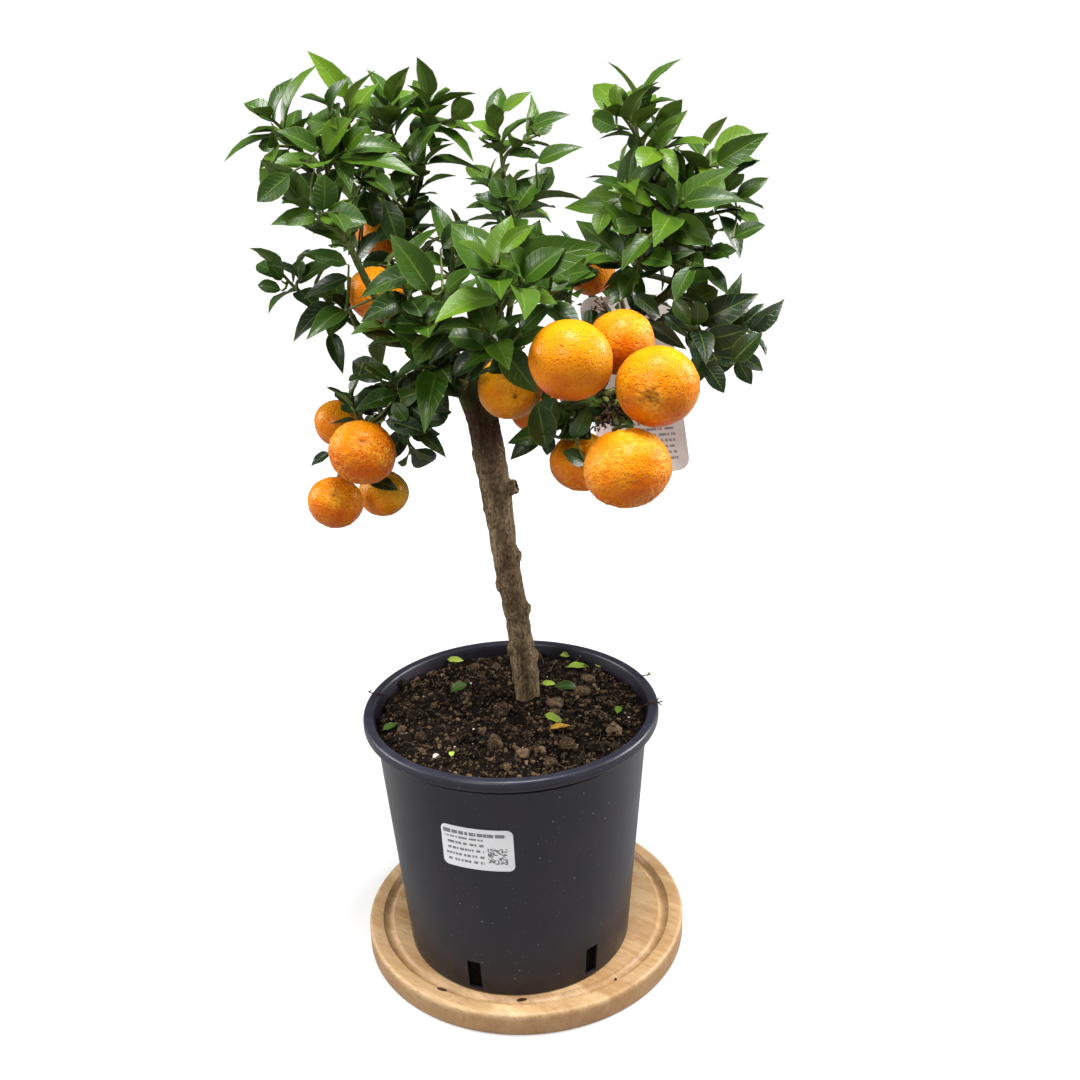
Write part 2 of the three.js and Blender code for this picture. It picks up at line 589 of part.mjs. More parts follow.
// A leaf leans out from its twig, lifts a little, and turns its face to the light.
function leafFrame(frame, azimuth, lean, roll) {
  const out = radial(frame, azimuth);
  const way = frame.tangent.clone().multiplyScalar(Math.cos(lean)).addScaledVector(out, Math.sin(lean));
  way.z += LIFT;
  way.normalize();
  const face = frame.tangent.clone().multiplyScalar(Math.sin(lean)).addScaledVector(out, -Math.cos(lean));
  face.addScaledVector(way, -face.dot(way)).normalize();
  const across = way.clone().cross(face);
  const light = at(LIGHT, way, -LIGHT.dot(way));
  const pull = Math.atan2(light.dot(across), light.dot(face)) * LIGHT_PULL * light.length();
  const turn = THREE.MathUtils.clamp(pull + roll, -MOST_ROLL, MOST_ROLL);
  face.multiplyScalar(Math.cos(turn)).addScaledVector(across, Math.sin(turn));
  return [way, face];
}

function growLeaf(owner, line, share, azimuth, lean, roll, length) {
  const frame = twigFrame(line, share);
  for (const { turn, lean: extra, scale } of TRIES) {
    const [way, face] = leafFrame(frame, azimuth + turn, lean + extra, roll);
    const foot = at(line.getPoint(share), radial(frame, azimuth + turn), twigRadius(share) / 2);
    const points = bladePoints(foot, way, face, length * scale);
    const bend = BLADE.arch * BLADE.rib;
    const normal = way.clone().multiplyScalar(Math.sin(bend)).addScaledVector(face, Math.cos(bend));
    const blade = bladeTest(owner, points, normal);
    if (isClear(blade)) {
      blades.push(blade);
      return { share, azimuth: azimuth + turn, points, normal };
    }
  }
  return null;
}

for (const spray of sprays) {
  spray.twigs = spray.lines.map((line, k) => {
    const count = spray.leaves[k];
    const start = draw() * 2 * Math.PI;
    const leaves = [];
    for (let i = 0; i < count; i += 1) {
      const rank = i / (count - 1);
      const share = THREE.MathUtils.lerp(LEAF_PLACES[0], LEAF_PLACES[1], rank);
      const azimuth = start + i * GOLDEN_TURN + (draw() - 0.5) * 0.4;
      const lean = THREE.MathUtils.lerp(1.2, 0.5, rank) + (draw() - 0.5) * 0.3;
      const roll = (draw() - 0.5) * 0.6;
      const length = spray.leafLength * (0.76 + 0.26 * draw()) * (1 - 0.22 * rank * rank);
      leaves.push(growLeaf(spray.name, line, share, azimuth, lean, roll, length));
    }
    return { line, leaves: leaves.filter(Boolean) };
  });
}

// The facets of a blade on its four foot corners: right and left above, right and left below.
function bladeFacets(rim, above, below, rib, underRib) {
  const triangles = [];
  rim.forEach((row, i) => {
    const next = rim[(i + 1) % rim.length];
    triangles.push(rib, above(row), above(next), underRib, below(next), below(row));
    if (i < rim.length - 1) {
      triangles.push(below(row), below(next), above(next), below(row), above(next), above(row));
    }
  });
  return triangles;
}

// One twig with its leaves as one closed surface: three-sided rings along the twig, and each blade
// grows out of the side that faces its way.
const THIRD = (2 * Math.PI) / 3;
function twigSolid(line, leaves) {
  const places = [];
  const triangles = [];
  const half = TWIG.seat / 2 / line.getLength();
  const rings = [{ share: 0, azimuth: leaves.length ? leaves[0].azimuth : 0 }];
  for (const leaf of leaves) {
    rings.push({ share: leaf.share - half, azimuth: leaf.azimuth, leaf });
    rings.push({ share: leaf.share + half, azimuth: leaf.azimuth });
  }
  rings.push({ share: 1, azimuth: rings[rings.length - 1].azimuth });
  let last = rings[0].azimuth - THIRD / 2;
  for (const ring of rings) {
    const wanted = ring.azimuth - THIRD / 2;
    const shift = Math.round((last - wanted) / THIRD);
    last = wanted + shift * THIRD;
    ring.side = (((-shift) % 3) + 3) % 3;
    ring.first = places.length;
    const frame = twigFrame(line, ring.share);
    for (let j = 0; j < 3; j += 1) {
      places.push(at(line.getPoint(ring.share), radial(frame, last + j * THIRD), twigRadius(ring.share)));
    }
  }
  const corner = (ring, j) => ring.first + (j % 3);
  for (let i = 0; i < rings.length - 1; i += 1) {
    const [ring, next] = [rings[i], rings[i + 1]];
    for (let j = 0; j < 3; j += 1) {
      const [a, b, c, d] = [corner(ring, j), corner(ring, j + 1), corner(next, j + 1), corner(next, j)];
      if (!ring.leaf || j !== ring.side) {
        triangles.push(a, b, c, a, c, d);
        continue;
      }
      const { points, normal } = ring.leaf;
      const first = places.length;
      places.push(...points.slice(1).map((p) => at(p, normal, BLADE.thickness / 2)));
      places.push(...points.slice(1).map((p) => at(p, normal, -BLADE.thickness / 2)));
      const above = (row) => (row === "right" ? d : row === "left" ? c : first + row - 1);
      const below = (row) => (row === "right" ? a : row === "left" ? b : first + row + 5);
      const rim = ["right", ...OUTLINE.slice(1), "left"];
      triangles.push(...bladeFacets(rim, above, below, above(RIB), below(RIB)));
    }
  }
  const end = rings[rings.length - 1];
  triangles.push(0, 2, 1, corner(end, 0), corner(end, 1), corner(end, 2));
  const geometry = new THREE.BufferGeometry().setFromPoints(places);
  geometry.setIndex(triangles);
  return solid(geometry);
}

// A blade by itself, closed at its foot.
function bladeSolid({ points, normal }) {
  const lift = (p, way) => at(p, normal, (way * BLADE.thickness) / 2);
  const places = [...points.map((p) => lift(p, 1)), ...points.map((p) => lift(p, -1))];
  const under = points.length;
  const triangles = bladeFacets([...OUTLINE], (row) => row, (row) => row + under, RIB, RIB + under);
  const [a, b] = [OUTLINE[OUTLINE.length - 1], OUTLINE[0]];
  triangles.push(a + under, b + under, b, a + under, b, a);
  const geometry = new THREE.BufferGeometry().setFromPoints(places);
  geometry.setIndex(triangles);
  return solid(geometry);
}

const tree = grown(wood);
addMesh(plantAndPot, "tree", geometryOf(tree), 0x6b5646, 0.8);

// A leaf that comes too close to another node or leaf is left out, and a spray's twigs join.
const tooClose = (one, other) => one.minGap(other, 1) < BLADE.clearance;
const bareTwigs = sprays.map(({ twigs }) => twigs.map(({ line }) => twigSolid(line, [])));
const keptLeaves = [];
sprays.forEach((spray, n) => {
  for (const twig of spray.twigs) {
    twig.leaves = twig.leaves.filter((leaf) => {
      const body = bladeSolid(leaf);
      const otherTwigs = bareTwigs.filter((twigs, i) => i !== n).flat();
      const others = [tree, tag, ...fruitBodies, ...otherTwigs, ...keptLeaves];
      if (others.some((other) => tooClose(body, other))) return false;
      keptLeaves.push(body);
      return true;
    });
  }
  const body = grown(spray.twigs.map(({ line, leaves }) => twigSolid(line, leaves)));
  addMesh(plantAndPot, `spray_${spray.name}`, geometryOf(body), 0x3f7d2c, 0.4);
});

// Soil: fills the pot, a little uneven on top, with clods and a plain hole for the trunk.
const innerAt = (height) => wallAt(height - POT.base) - POT.wall - SOIL.gap;
const soilFoot = POT.base + POT.floor + GAP;
const soilProfile = [[0, soilFoot], [innerAt(soilFoot), soilFoot], [innerAt(SOIL.edge), SOIL.edge]];
for (const share of SOIL.rings) {
  soilProfile.push([innerAt(SOIL.edge) * share, THREE.MathUtils.lerp(SOIL.top, SOIL.edge, share ** 4)]);
}
soilProfile.push([0, SOIL.top]);
const soilForm = turned(soilProfile, POT.sides);
const soilPlaces = soilForm.attributes.position;
for (let i = 0; i < soilPlaces.count; i += 1) {
  const [x, y, z] = [soilPlaces.getX(i), soilPlaces.getY(i), soilPlaces.getZ(i)];
  const rise = SOIL.rough * Math.sin(x * 0.21 + 1) * Math.cos(y * 0.17 + x * 0.06);
  if (z > SOIL.edge + GAP) soilPlaces.setZ(i, z + rise);
}
const clods = [];
while (clods.length < CLODS.count) {
  const turn = draw() * 2 * Math.PI;
  const distance = CLODS.reach * Math.sqrt(draw());
  const radius = THREE.MathUtils.lerp(CLODS.least, CLODS.most, draw());
  const place = vector([distance * Math.cos(turn), distance * Math.sin(turn), SOIL.top - radius * 0.2]);
  const taken = [TRUNK[0], ...FALLEN.map((row) => row[0]), ...clods.map((clod) => clod.place.toArray())];
  if (taken.some(([x, y]) => Math.hypot(x - place.x, y - place.y) < CLODS.clear)) continue;
  clods.push({ place, form: new THREE.IcosahedronGeometry(radius, 0).rotateX(turn).translate(...place) });
}
const [trunkX, trunkY, trunkFoot] = TRUNK[0];
const holeRadius = (TRUNK[2][3] + SOIL.holeGap) / Math.cos(Math.PI / SOIL.holeSides);
const hole = new THREE.CylinderGeometry(holeRadius, holeRadius, SOIL.top, SOIL.holeSides);
hole.rotateX(Math.PI / 2).translate(trunkX, trunkY, trunkFoot - GAP + SOIL.top / 2);
const soil = grown([solid(soilForm), ...clods.map((clod) => solid(clod.form))]).subtract(solid(hole));
addMesh(plantAndPot, "soil", geometryOf(soil), 0x3a2a20, 0.95);

// Fallen leaves: each lies on its foot and its tip, lowered until it is just off the soil.
FALLEN.forEach(([[x, y], turn, length, colour], i) => {
  const tilt = BLADE.arch / 2;
  const out = new THREE.Vector3(Math.cos(turn), Math.sin(turn), 0);
  const up = new THREE.Vector3(0, 0, 1);
  const way = out.clone().multiplyScalar(Math.cos(tilt)).addScaledVector(up, Math.sin(tilt));
  const face = up.clone().multiplyScalar(Math.cos(tilt)).addScaledVector(out, -Math.sin(tilt));
  const foot = new THREE.Vector3(x, y, SOIL.top + length);
  let leaf = bladeSolid({ points: bladePoints(foot, way, face, length), normal: face });
  for (let drop = leaf.minGap(soil, length) - GAP; drop > 0.01; drop = leaf.minGap(soil, length) - GAP) {
    leaf = leaf.translate(0, 0, -drop);
  }
  addMesh(plantAndPot, `fallen_leaf_${i + 1}`, geometryOf(leaf), colour, 0.6);
});

export default model;
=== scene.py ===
import math
import random

import bmesh
import bpy
import numpy as np
from mathutils import Matrix, Vector, kdtree, noise


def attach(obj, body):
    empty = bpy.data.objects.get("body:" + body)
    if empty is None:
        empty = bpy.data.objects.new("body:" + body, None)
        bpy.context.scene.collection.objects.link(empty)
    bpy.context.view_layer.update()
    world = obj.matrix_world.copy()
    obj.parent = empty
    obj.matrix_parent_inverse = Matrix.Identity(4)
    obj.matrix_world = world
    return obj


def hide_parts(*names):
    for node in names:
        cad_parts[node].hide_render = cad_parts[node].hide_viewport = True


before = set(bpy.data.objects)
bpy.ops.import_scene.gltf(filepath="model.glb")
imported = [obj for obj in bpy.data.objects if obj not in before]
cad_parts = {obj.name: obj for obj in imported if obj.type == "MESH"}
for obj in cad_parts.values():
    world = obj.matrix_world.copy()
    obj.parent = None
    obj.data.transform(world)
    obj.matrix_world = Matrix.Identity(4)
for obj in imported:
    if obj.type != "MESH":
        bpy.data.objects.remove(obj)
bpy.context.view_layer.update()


# Camera: it stands in front of the pot at the height of the crown and looks down a little. Its place
# was fitted to the edges of the pot's lip and of the board.
def shown(name, data):
    """An object of the scene that holds the data."""
    thing = bpy.data.objects.new(name, data)
    bpy.context.scene.collection.objects.link(thing)
    return thing


MM = 0.001
POT_AXIS = Vector((-4.7, -18.9, 0)) * MM
lens = bpy.data.cameras.new("portrait_camera")
lens.lens = 40.83
lens.clip_start = 0.05
camera_right = Vector((0.99892, -0.03559, -0.02977))
camera_up = Vector((0.04054, 0.35740, 0.93307))
camera_turn = Matrix((camera_right, camera_up, camera_right.cross(camera_up))).transposed().to_4x4()
camera_place = POT_AXIS + Vector((5.44, -738.52, 599.25)) * MM
camera = shown("portrait_camera", lens)
camera.matrix_world = Matrix.Translation(camera_place) @ camera_turn
bpy.context.scene.camera = camera


# Board: a turned beech disc with rounded edges and a juice groove, glued up from staves. It is oiled,
# a little grubby in the groove, and lies under the pot.
def tint(red, green, blue):
    """A colour as seen on a screen, 0 to 255, in the renderer's own scale."""
    levels = [c / 255 for c in (red, green, blue)]
    return tuple(c / 12.92 if c < 0.04 else ((c + 0.055) / 1.055) ** 2.4 for c in levels) + (1.0,)


def feed(tree, socket, value):
    """Gives a socket a plain value, or links it to a socket or to a node's first output."""
    if isinstance(value, bpy.types.Node):
        value = value.outputs[0]
    if isinstance(value, bpy.types.NodeSocket):
        tree.links.new(value, socket)
    else:
        socket.default_value = value


def put(tree, kind, feeds, **settings):
    """A new shader node with its settings made and its sockets fed."""
    node = tree.nodes.new("ShaderNode" + kind)
    for key, value in settings.items():
        setattr(node, key, value)
    for socket, value in feeds.items():
        feed(tree, node.inputs[socket], value)
    return node


def level(tree, value, low, high, start=0.0, end=1.0):
    """A value eased from start to end while it goes from low to high."""
    feeds = {"Value": value, "From Min": low, "From Max": high, "To Min": start, "To Max": end}
    return put(tree, "MapRange", feeds, interpolation_type="SMOOTHSTEP").outputs[0]


def sums(tree, how, first, second=0.0):
    return put(tree, "Math", {0: first, 1: second}, operation=how).outputs[0]


def times(tree, first, second):
    return sums(tree, "MULTIPLY", first, second)


def off_by(tree, value, middle):
    """How far a value is from a middle one."""
    return sums(tree, "ABSOLUTE", sums(tree, "SUBTRACT", value, middle))


def spots_of(tree):
    return put(tree, "TexCoord", {}).outputs["Object"]


def part_of(tree, vector, axis):
    return put(tree, "SeparateXYZ", {"Vector": vector}).outputs[axis]


def grain(tree, spots, scale, detail, roughness=0.5, **settings):
    feeds = {"Vector": spots, "Scale": scale, "Detail": detail, "Roughness": roughness}
    return put(tree, "TexNoise", feeds, **settings).outputs[0]


def coated(tree, colour, *coats):
    """A paint with coats over it. Each coat is a paint, its mask and, where it is thin, its share."""
    colour = tint(*colour) if isinstance(colour, tuple) else colour
    for paint, mask, *share in coats:
        paint = tint(*paint) if isinstance(paint, tuple) else paint
        mask = times(tree, mask, *share) if share else mask
        colour = put(tree, "Mix", {0: mask, 6: colour, 7: paint}, data_type="RGBA").outputs[2]
    return colour


def painted(tree, shader, colour, *coats):
    feed(tree, shader.inputs["Base Color"], coated(tree, colour, *coats))


def finish_of(name, roughness, specular=0.5, coat=0.0):
    """A new material with its node tree and its shader."""
    material = bpy.data.materials.new(name)
    material.use_nodes = True
    shader = material.node_tree.nodes["Principled BSDF"]
    shader.inputs["Roughness"].default_value = roughness
    shader.inputs["Specular IOR Level"].default_value = specular
    shader.inputs["Coat Weight"].default_value = coat
    return material, material.node_tree, shader


def group_of(name, inputs):
    """A node group that puts out one mask, with its own input and output nodes."""
    group = bpy.data.node_groups.new(name, "ShaderNodeTree")
    for label, value in inputs.items():
        kind = "NodeSocketVector" if isinstance(value, tuple) else "NodeSocketFloat"
        socket = group.interface.new_socket(name=label, in_out="INPUT", socket_type=kind)
        socket.default_value = value
    group.interface.new_socket(name="Mask", in_out="OUTPUT", socket_type="NodeSocketFloat")
    return group, group.nodes.new("NodeGroupInput"), group.nodes.new("NodeGroupOutput")


cloud_sockets = {"Stretch": (1.0, 1.0, 1.0), "Scale": 100.0, "Low": 0.4, "High": 0.6}
mottling, given, taken = group_of("mottling", cloud_sockets)
stretched = {0: spots_of(mottling), 1: given.outputs["Stretch"]}
spots = put(mottling, "VectorMath", stretched, operation="MULTIPLY")
cloud = grain(mottling, spots, given.outputs["Scale"], 5.0, 0.6)
feed(mottling, taken.inputs["Mask"], level(mottling, cloud, given.outputs["Low"], given.outputs["High"]))

specks, given, taken = group_of("specks", {"Scale": 300.0, "Size": 0.2, "Share": 0.2})
cells = put(specks, "TexVoronoi", {"Vector": spots_of(specks), "Scale": given.outputs["Scale"]})
chosen = put(specks, "TexWhiteNoise", {"Vector": cells.outputs["Position"]}, noise_dimensions="3D")
dot = sums(specks, "LESS_THAN", cells.outputs["Distance"], given.outputs["Size"])
kept = sums(specks, "LESS_THAN", chosen.outputs["Value"], given.outputs["Share"])
feed(specks, taken.inputs["Mask"], times(specks, dot, kept))


def effect(tree, group, **values):
    node = tree.nodes.new("ShaderNodeGroup")
    node.node_tree = group
    for key, value in values.items():
        feed(tree, node.inputs[key], value)
    return node.outputs["Mask"]


def mottled(tree, scale, low, high, upright=1.0):
    """A mask of soft clouds. A small upright number draws them out up and down."""
    return effect(tree, mottling, Stretch=(1.0, 1.0, upright), Scale=scale, Low=low, High=high)


def specked(tree, scale, size, share):
    """A mask of round specks in a share of the cells of a scale."""
    return effect(tree, specks, Scale=scale, Size=size, Share=share)


def relief(tree, shader, height, depth, strength=1.0):
    bump = put(tree, "Bump", {"Height": height, "Distance": depth, "Strength": strength})
    feed(tree, shader.inputs["Normal"], bump)


def turned(outline, steps):
    """A closed shape spun from its half outline of (radius, height)."""
    bm = bmesh.new()
    points = [bm.verts.new((radius * MM, 0, height * MM)) for radius, height in outline]
    edges = [bm.edges.new(pair) for pair in zip(points, points[1:])]
    bmesh.ops.spin(bm, geom=points + edges, cent=(0, 0, 0), axis=(0, 0, 1), angle=2 * math.pi, steps=steps,
                   use_merge=True)
    bmesh.ops.remove_doubles(bm, verts=bm.verts, dist=1e-6)
    bmesh.ops.recalc_face_normals(bm, faces=bm.faces)
    return bm


def bow(radius, height, size, start, end, steps=5):
    """Points of a quarter or half round in an outline, by its centre, size and turns in degrees."""
    turns = [math.radians(start + (end - start) * i / steps) for i in range(steps + 1)]
    return [(radius + size * math.cos(turn), height + size * math.sin(turn)) for turn in turns]


def piece_of(mesh, name, materials, nodes=(), crease=40):
    """A finished piece in the scene. It stands for the nodes, and keeps edges above the crease sharp."""
    mesh.name = name
    for material in materials:
        mesh.materials.append(material)
    mesh.shade_smooth()
    mesh.set_sharp_from_angle(angle=math.radians(crease))
    piece = shown(name, mesh)
    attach(piece, "root")
    if nodes:
        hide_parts(*nodes)
    return piece


def moved(bm, way, start=Vector()):
    """Moves a whole shape by a way in millimetres, from a start in metres."""
    bmesh.ops.translate(bm, verts=bm.verts, vec=Vector(way) * MM + start)


def settled(bm, at=POT_AXIS):
    """The mesh of a finished shape, moved to its place."""
    bmesh.ops.translate(bm, verts=bm.verts, vec=at)
    mesh = bpy.data.meshes.new("draft")
    bm.to_mesh(mesh)
    bm.free()
    return mesh


BOARD_RADIUS, BOARD_TOP, GROOVE_RADIUS = 116, 18, 102
FOOT_ROUND, TOP_ROUND = 3, 2.6
groove = bow(GROOVE_RADIUS, BOARD_TOP + 1.2, 4.2, -17, -163, 10)
board_outline = [(0, 0)] + bow(BOARD_RADIUS - FOOT_ROUND, FOOT_ROUND, FOOT_ROUND, -90, 0)
board_outline += bow(BOARD_RADIUS - TOP_ROUND, BOARD_TOP - TOP_ROUND, TOP_ROUND, 0, 90, 6)
board_outline += [(108.5, BOARD_TOP)] + groove + [(94, BOARD_TOP), (60, BOARD_TOP), (0, BOARD_TOP)]
board_wood, tree, shader = finish_of("oiled_beech", 0.5)
spots = spots_of(tree)
along = put(tree, "Mapping", {"Vector": spots, "Rotation": (0, 0, 0.62)})
fine = put(tree, "Mapping", {"Vector": along, "Scale": (40, 1100, 260)})
broad = put(tree, "Mapping", {"Vector": along, "Scale": (7, 75, 40)})
dashes = put(tree, "Mapping", {"Vector": along, "Scale": (150, 950, 400)})
lines = grain(tree, fine, 1.0, 3.0)
figure = put(tree, "TexNoise", {"Vector": broad, "Scale": 1.0, "Detail": 4.0, "Distortion": 0.6})
flecks = grain(tree, dashes, 1.0, 1.0)
STAVE_WIDTH = 0.043
stave_number = sums(tree, "FLOOR", sums(tree, "DIVIDE", part_of(tree, along, "Y"), STAVE_WIDTH))
stave = put(tree, "TexWhiteNoise", {"W": stave_number}, noise_dimensions="1D").outputs["Value"]
flat = put(tree, "VectorMath", {0: spots, 1: (1, 1, 0)}, operation="MULTIPLY")
from_centre = put(tree, "VectorMath", {0: flat}, operation="LENGTH").outputs["Value"]
in_groove = level(tree, off_by(tree, from_centre, GROOVE_RADIUS * MM), 0.0042, 0.0022)
painted(tree, shader, (204, 171, 126), ((171, 132, 86), level(tree, figure, 0.3, 0.72)),
        ((150, 108, 68), level(tree, lines, 0.45, 0.75, 0, 0.45)),
        ((126, 84, 50), level(tree, flecks, 0.6, 0.72, 0, 0.5)),
        ((160, 116, 74), level(tree, stave, 0, 1, 0, 0.4)),
        ((124, 88, 56), times(tree, in_groove, mottled(tree, 90, 0.35, 0.7)), 0.5),
        ((216, 186, 150), mottled(tree, 38, 0.45, 0.7), 0.3),
        # The side of the board under its rounded top edge is painted darker: painted shade where the side
        # turns away from the light above.
        ((152, 106, 64), level(tree, part_of(tree, spots, "Z"), 0.0155, 0.013, 0, 0.5)),
        ((88, 60, 38), specked(tree, 240, 0.13, 0.07), 0.7))
feed(tree, shader.inputs["Roughness"], level(tree, lines, 0.3, 0.8, 0.42, 0.62))
relief(tree, shader, sums(tree, "ADD", lines, flecks), 0.00012, 0.7)
board = settled(turned(board_outline, 160), Vector())
piece_of(board, "beech_board", [board_wood], ["board"], 50)

# Pot: one moulding of charcoal polypropylene with a rolled lip, a ridge under it, and six drainage
# slots at its foot. It is satin, scuffed, specked with dust and brown with splashed soil low down.
POT_BASE = 18.3
pot_outline = [(0, 1), (70, 1), (72, 0), (77.2, 0)] + bow(77.2, 1.5, 1.5, -60, 0, 3)
pot_outline += [(80.4, 22), (83.2, 56), (86.1, 92), (89.3, 132), (91.6, 161), (92.2, 165.4)]
pot_outline += bow(92.3, 166.6, 0.9, -75, 75, 4) + [(92.4, 168.4), (92.7, 170.8)]
pot_outline += [(94, 171.5), (97.6, 171.7)] + bow(98, 173.7, 2, -75, 0, 4) + bow(97.4, 177, 2.6, 0, 80, 5)
pot_outline += [(96, 179.5)] + bow(95, 177.4, 2.1, 90, 170, 4) + [(92.2, 174), (90.8, 170.6), (90.7, 168)]
pot_outline += [(87.5, 132), (76.9, 3.2), (76, 2.5), (0, 2.5)]
pot = turned(pot_outline, 216)
moved(pot, (0, 0, POT_BASE))
pot_mesh = settled(pot)
SLOT_WIDTH, SLOT_DEPTH, SLOT_LOW, SLOT_HIGH, SLOT_TURN, WALL_RADIUS = 9.5, 24, 3.2, 26, -23.3, 78.7
slots = bmesh.new()
for i in range(6):
    middle = Matrix.Translation(Vector((0, -WALL_RADIUS, POT_BASE + (SLOT_HIGH + SLOT_LOW) / 2)) * MM)
    form = Matrix.Diagonal((SLOT_WIDTH, SLOT_DEPTH, SLOT_HIGH - SLOT_LOW, 1))
    place = Matrix.Rotation(math.radians(60 * i + SLOT_TURN), 4, "Z") @ middle @ form
    bmesh.ops.create_cube(slots, size=MM, matrix=place)


def worked(thing):
    """The mesh that an object's own settings and modifiers make. The object goes."""
    mesh = bpy.data.meshes.new_from_object(thing.evaluated_get(bpy.context.evaluated_depsgraph_get()))
    bpy.data.objects.remove(thing)
    return mesh


def carved(mesh, cutter):
    """The mesh with the cutter's shape taken out of it."""
    block, tool = shown("block", mesh), shown("tool", cutter)
    cut = block.modifiers.new("cut", "BOOLEAN")
    cut.object, cut.operation, cut.solver = tool, "DIFFERENCE", "EXACT"
    result = worked(block)
    bpy.data.objects.remove(tool)
    return result


pot_plastic, tree, shader = finish_of("charcoal_plastic", 0.42, 0.3, 0.22)
shader.inputs["Coat Roughness"].default_value = 0.32
height = part_of(tree, spots_of(tree), "Z")
clouds = mottled(tree, 28, 0.3, 0.75)
splash = times(tree, level(tree, height, 0.075, 0.022), mottled(tree, 45, 0.3, 0.62))
scuffs = mottled(tree, 70, 0.66, 0.8, 5.0)
dust = sums(tree, "MAXIMUM", specked(tree, 260, 0.13, 0.045), specked(tree, 620, 0.16, 0.05))
# The top of the rolled lip is painted a lighter blue-grey in patches: partly wear, partly a painted sheen of
# light on the lip.
lip_patches = level(tree, mottled(tree, 90, 0.3, 0.8), 0, 1, 0.6, 1)
lip_wear_and_sheen = times(tree, level(tree, height, 0.1925, 0.1965), lip_patches)
painted(tree, shader, (18, 14, 22), ((31, 26, 38), clouds), ((44, 36, 32), splash, 0.4),
        ((74, 72, 82), scuffs, 0.2), ((150, 144, 138), dust, 0.6), ((66, 70, 86), lip_wear_and_sheen, 0.36))
rough = sums(tree, "ADD", times(tree, clouds, 0.1), times(tree, splash, 0.25))
feed(tree, shader.inputs["Roughness"], sums(tree, "ADD", rough, 0.36))
relief(tree, shader, grain(tree, spots_of(tree), 1400.0, 2.0), 0.00006, 0.5)
piece_of(carved(pot_mesh, settled(slots)), "nursery_pot", [pot_plastic], ["pot"], 35)

# Label: a white paper sticker with rounded corners, pressed round the pot's wall. Its print is only
# grey bars and a block of squares that stand for text.
LABEL_WIDTH, LABEL_HEIGHT, LABEL_MIDDLE, LABEL_TURN = 48, 32, 141, -16.3


def rolled(bm, turn, axis):
    bmesh.ops.rotate(bm, verts=bm.verts, cent=(0, 0, 0), matrix=Matrix.Rotation(turn, 3, axis))


def rounded_card(width, height, corner, strips, thickness):
    """A thin card in the XZ plane with rounded corners, cut into upright strips so that it can bend."""
    bm = bmesh.new()
    uv = bm.loops.layers.uv.new("print")
    bmesh.ops.create_grid(bm, x_segments=1, y_segments=1, size=0.5)
    bmesh.ops.scale(bm, verts=bm.verts, vec=(width * MM, height * MM, 1))
    bmesh.ops.bevel(bm, geom=bm.verts[:], offset=corner * MM, affect="VERTICES", segments=6, profile=0.5,
                    material=-1)
    for i in range(1, strips):
        cut = (i / strips - 0.5) * width * MM
        whole = bm.verts[:] + bm.edges[:] + bm.faces[:]
        bmesh.ops.bisect_plane(bm, geom=whole, plane_co=(cut, 0, 0), plane_no=(1, 0, 0))
    for face in bm.faces:
        for loop in face.loops:
            loop[uv].uv = (loop.vert.co.x / (width * MM) + 0.5, loop.vert.co.y / (height * MM) + 0.5)
    rolled(bm, math.pi / 2, "X")
    bmesh.ops.solidify(bm, geom=bm.faces[:], thickness=thickness * MM)
    bmesh.ops.recalc_face_normals(bm, faces=bm.faces)
    return bm


def face_place(tree, uv_map):
    """How far a spot lies across and up a card or a blade, each from 0 to 1."""
    place = put(tree, "SeparateXYZ", {"Vector": put(tree, "UVMap", {}, uv_map=uv_map)})
    return place.outputs["X"], place.outputs["Y"]


def near(tree, value, middle, reach):
    return sums(tree, "LESS_THAN", off_by(tree, value, middle), reach)


def between(tree, value, low, high):
    return times(tree, sums(tree, "GREATER_THAN", value, low), sums(tree, "LESS_THAN", value, high))


def print_rows(tree, u, v, rows, dashes, sides, heights):
    """A mask of rows of short dashes, like lines of words from afar, within part of a card's face."""
    row = times(tree, v, rows)
    line = sums(tree, "LESS_THAN", sums(tree, "FRACT", row), 0.42)
    words = put(tree, "CombineXYZ", {"X": times(tree, u, dashes), "Y": sums(tree, "FLOOR", row)})
    word = sums(tree, "GREATER_THAN", grain(tree, words, 1.0, 1.0, noise_dimensions="2D"), 0.46)
    inside = times(tree, between(tree, u, *sides), between(tree, v, *heights))
    return times(tree, times(tree, line, word), inside)


label_paper, tree, shader = finish_of("label_paper", 0.5)
u, v = face_place(tree, "print")
rows = print_rows(tree, u, v, 7.0, 22.0, (0.06, 0.6), (0.1, 0.76))
bar = times(tree, near(tree, v, 0.86, 0.042), between(tree, u, 0.16, 0.9))
letters = grain(tree, put(tree, "CombineXYZ", {"X": times(tree, u, 34.0)}), 1.0, 1.0, noise_dimensions="2D")
bar = times(tree, bar, sums(tree, "GREATER_THAN", letters, 0.4))
corner = times(tree, near(tree, u, 0.09, 0.055), near(tree, v, 0.86, 0.05))
column, line = sums(tree, "FLOOR", times(tree, u, 54.0)), sums(tree, "FLOOR", times(tree, v, 36.0))
squares = put(tree, "TexWhiteNoise", {"Vector": put(tree, "CombineXYZ", {"X": column, "Y": line})})
dark = sums(tree, "GREATER_THAN", squares.outputs["Value"], 0.52)
block = times(tree, near(tree, u, 0.78, 0.13), near(tree, v, 0.36, 0.1949))
painted(tree, shader, (240, 240, 242), ((228, 227, 229), mottled(tree, 60, 0.4, 0.8)),
        ((60, 60, 64), rows, 0.8), ((60, 60, 66), sums(tree, "MAXIMUM", bar, corner), 0.8),
        ((48, 48, 52), times(tree, dark, block), 0.85))
relief(tree, shader, mottled(tree, 300, 0.3, 0.7), 0.00005, 0.4)
label = rounded_card(LABEL_WIDTH, LABEL_HEIGHT, 4, 24, 0.3)
FOOT_RADIUS, HEAD_RADIUS, WALL_HEIGHT = 79, 92.2, 165.4
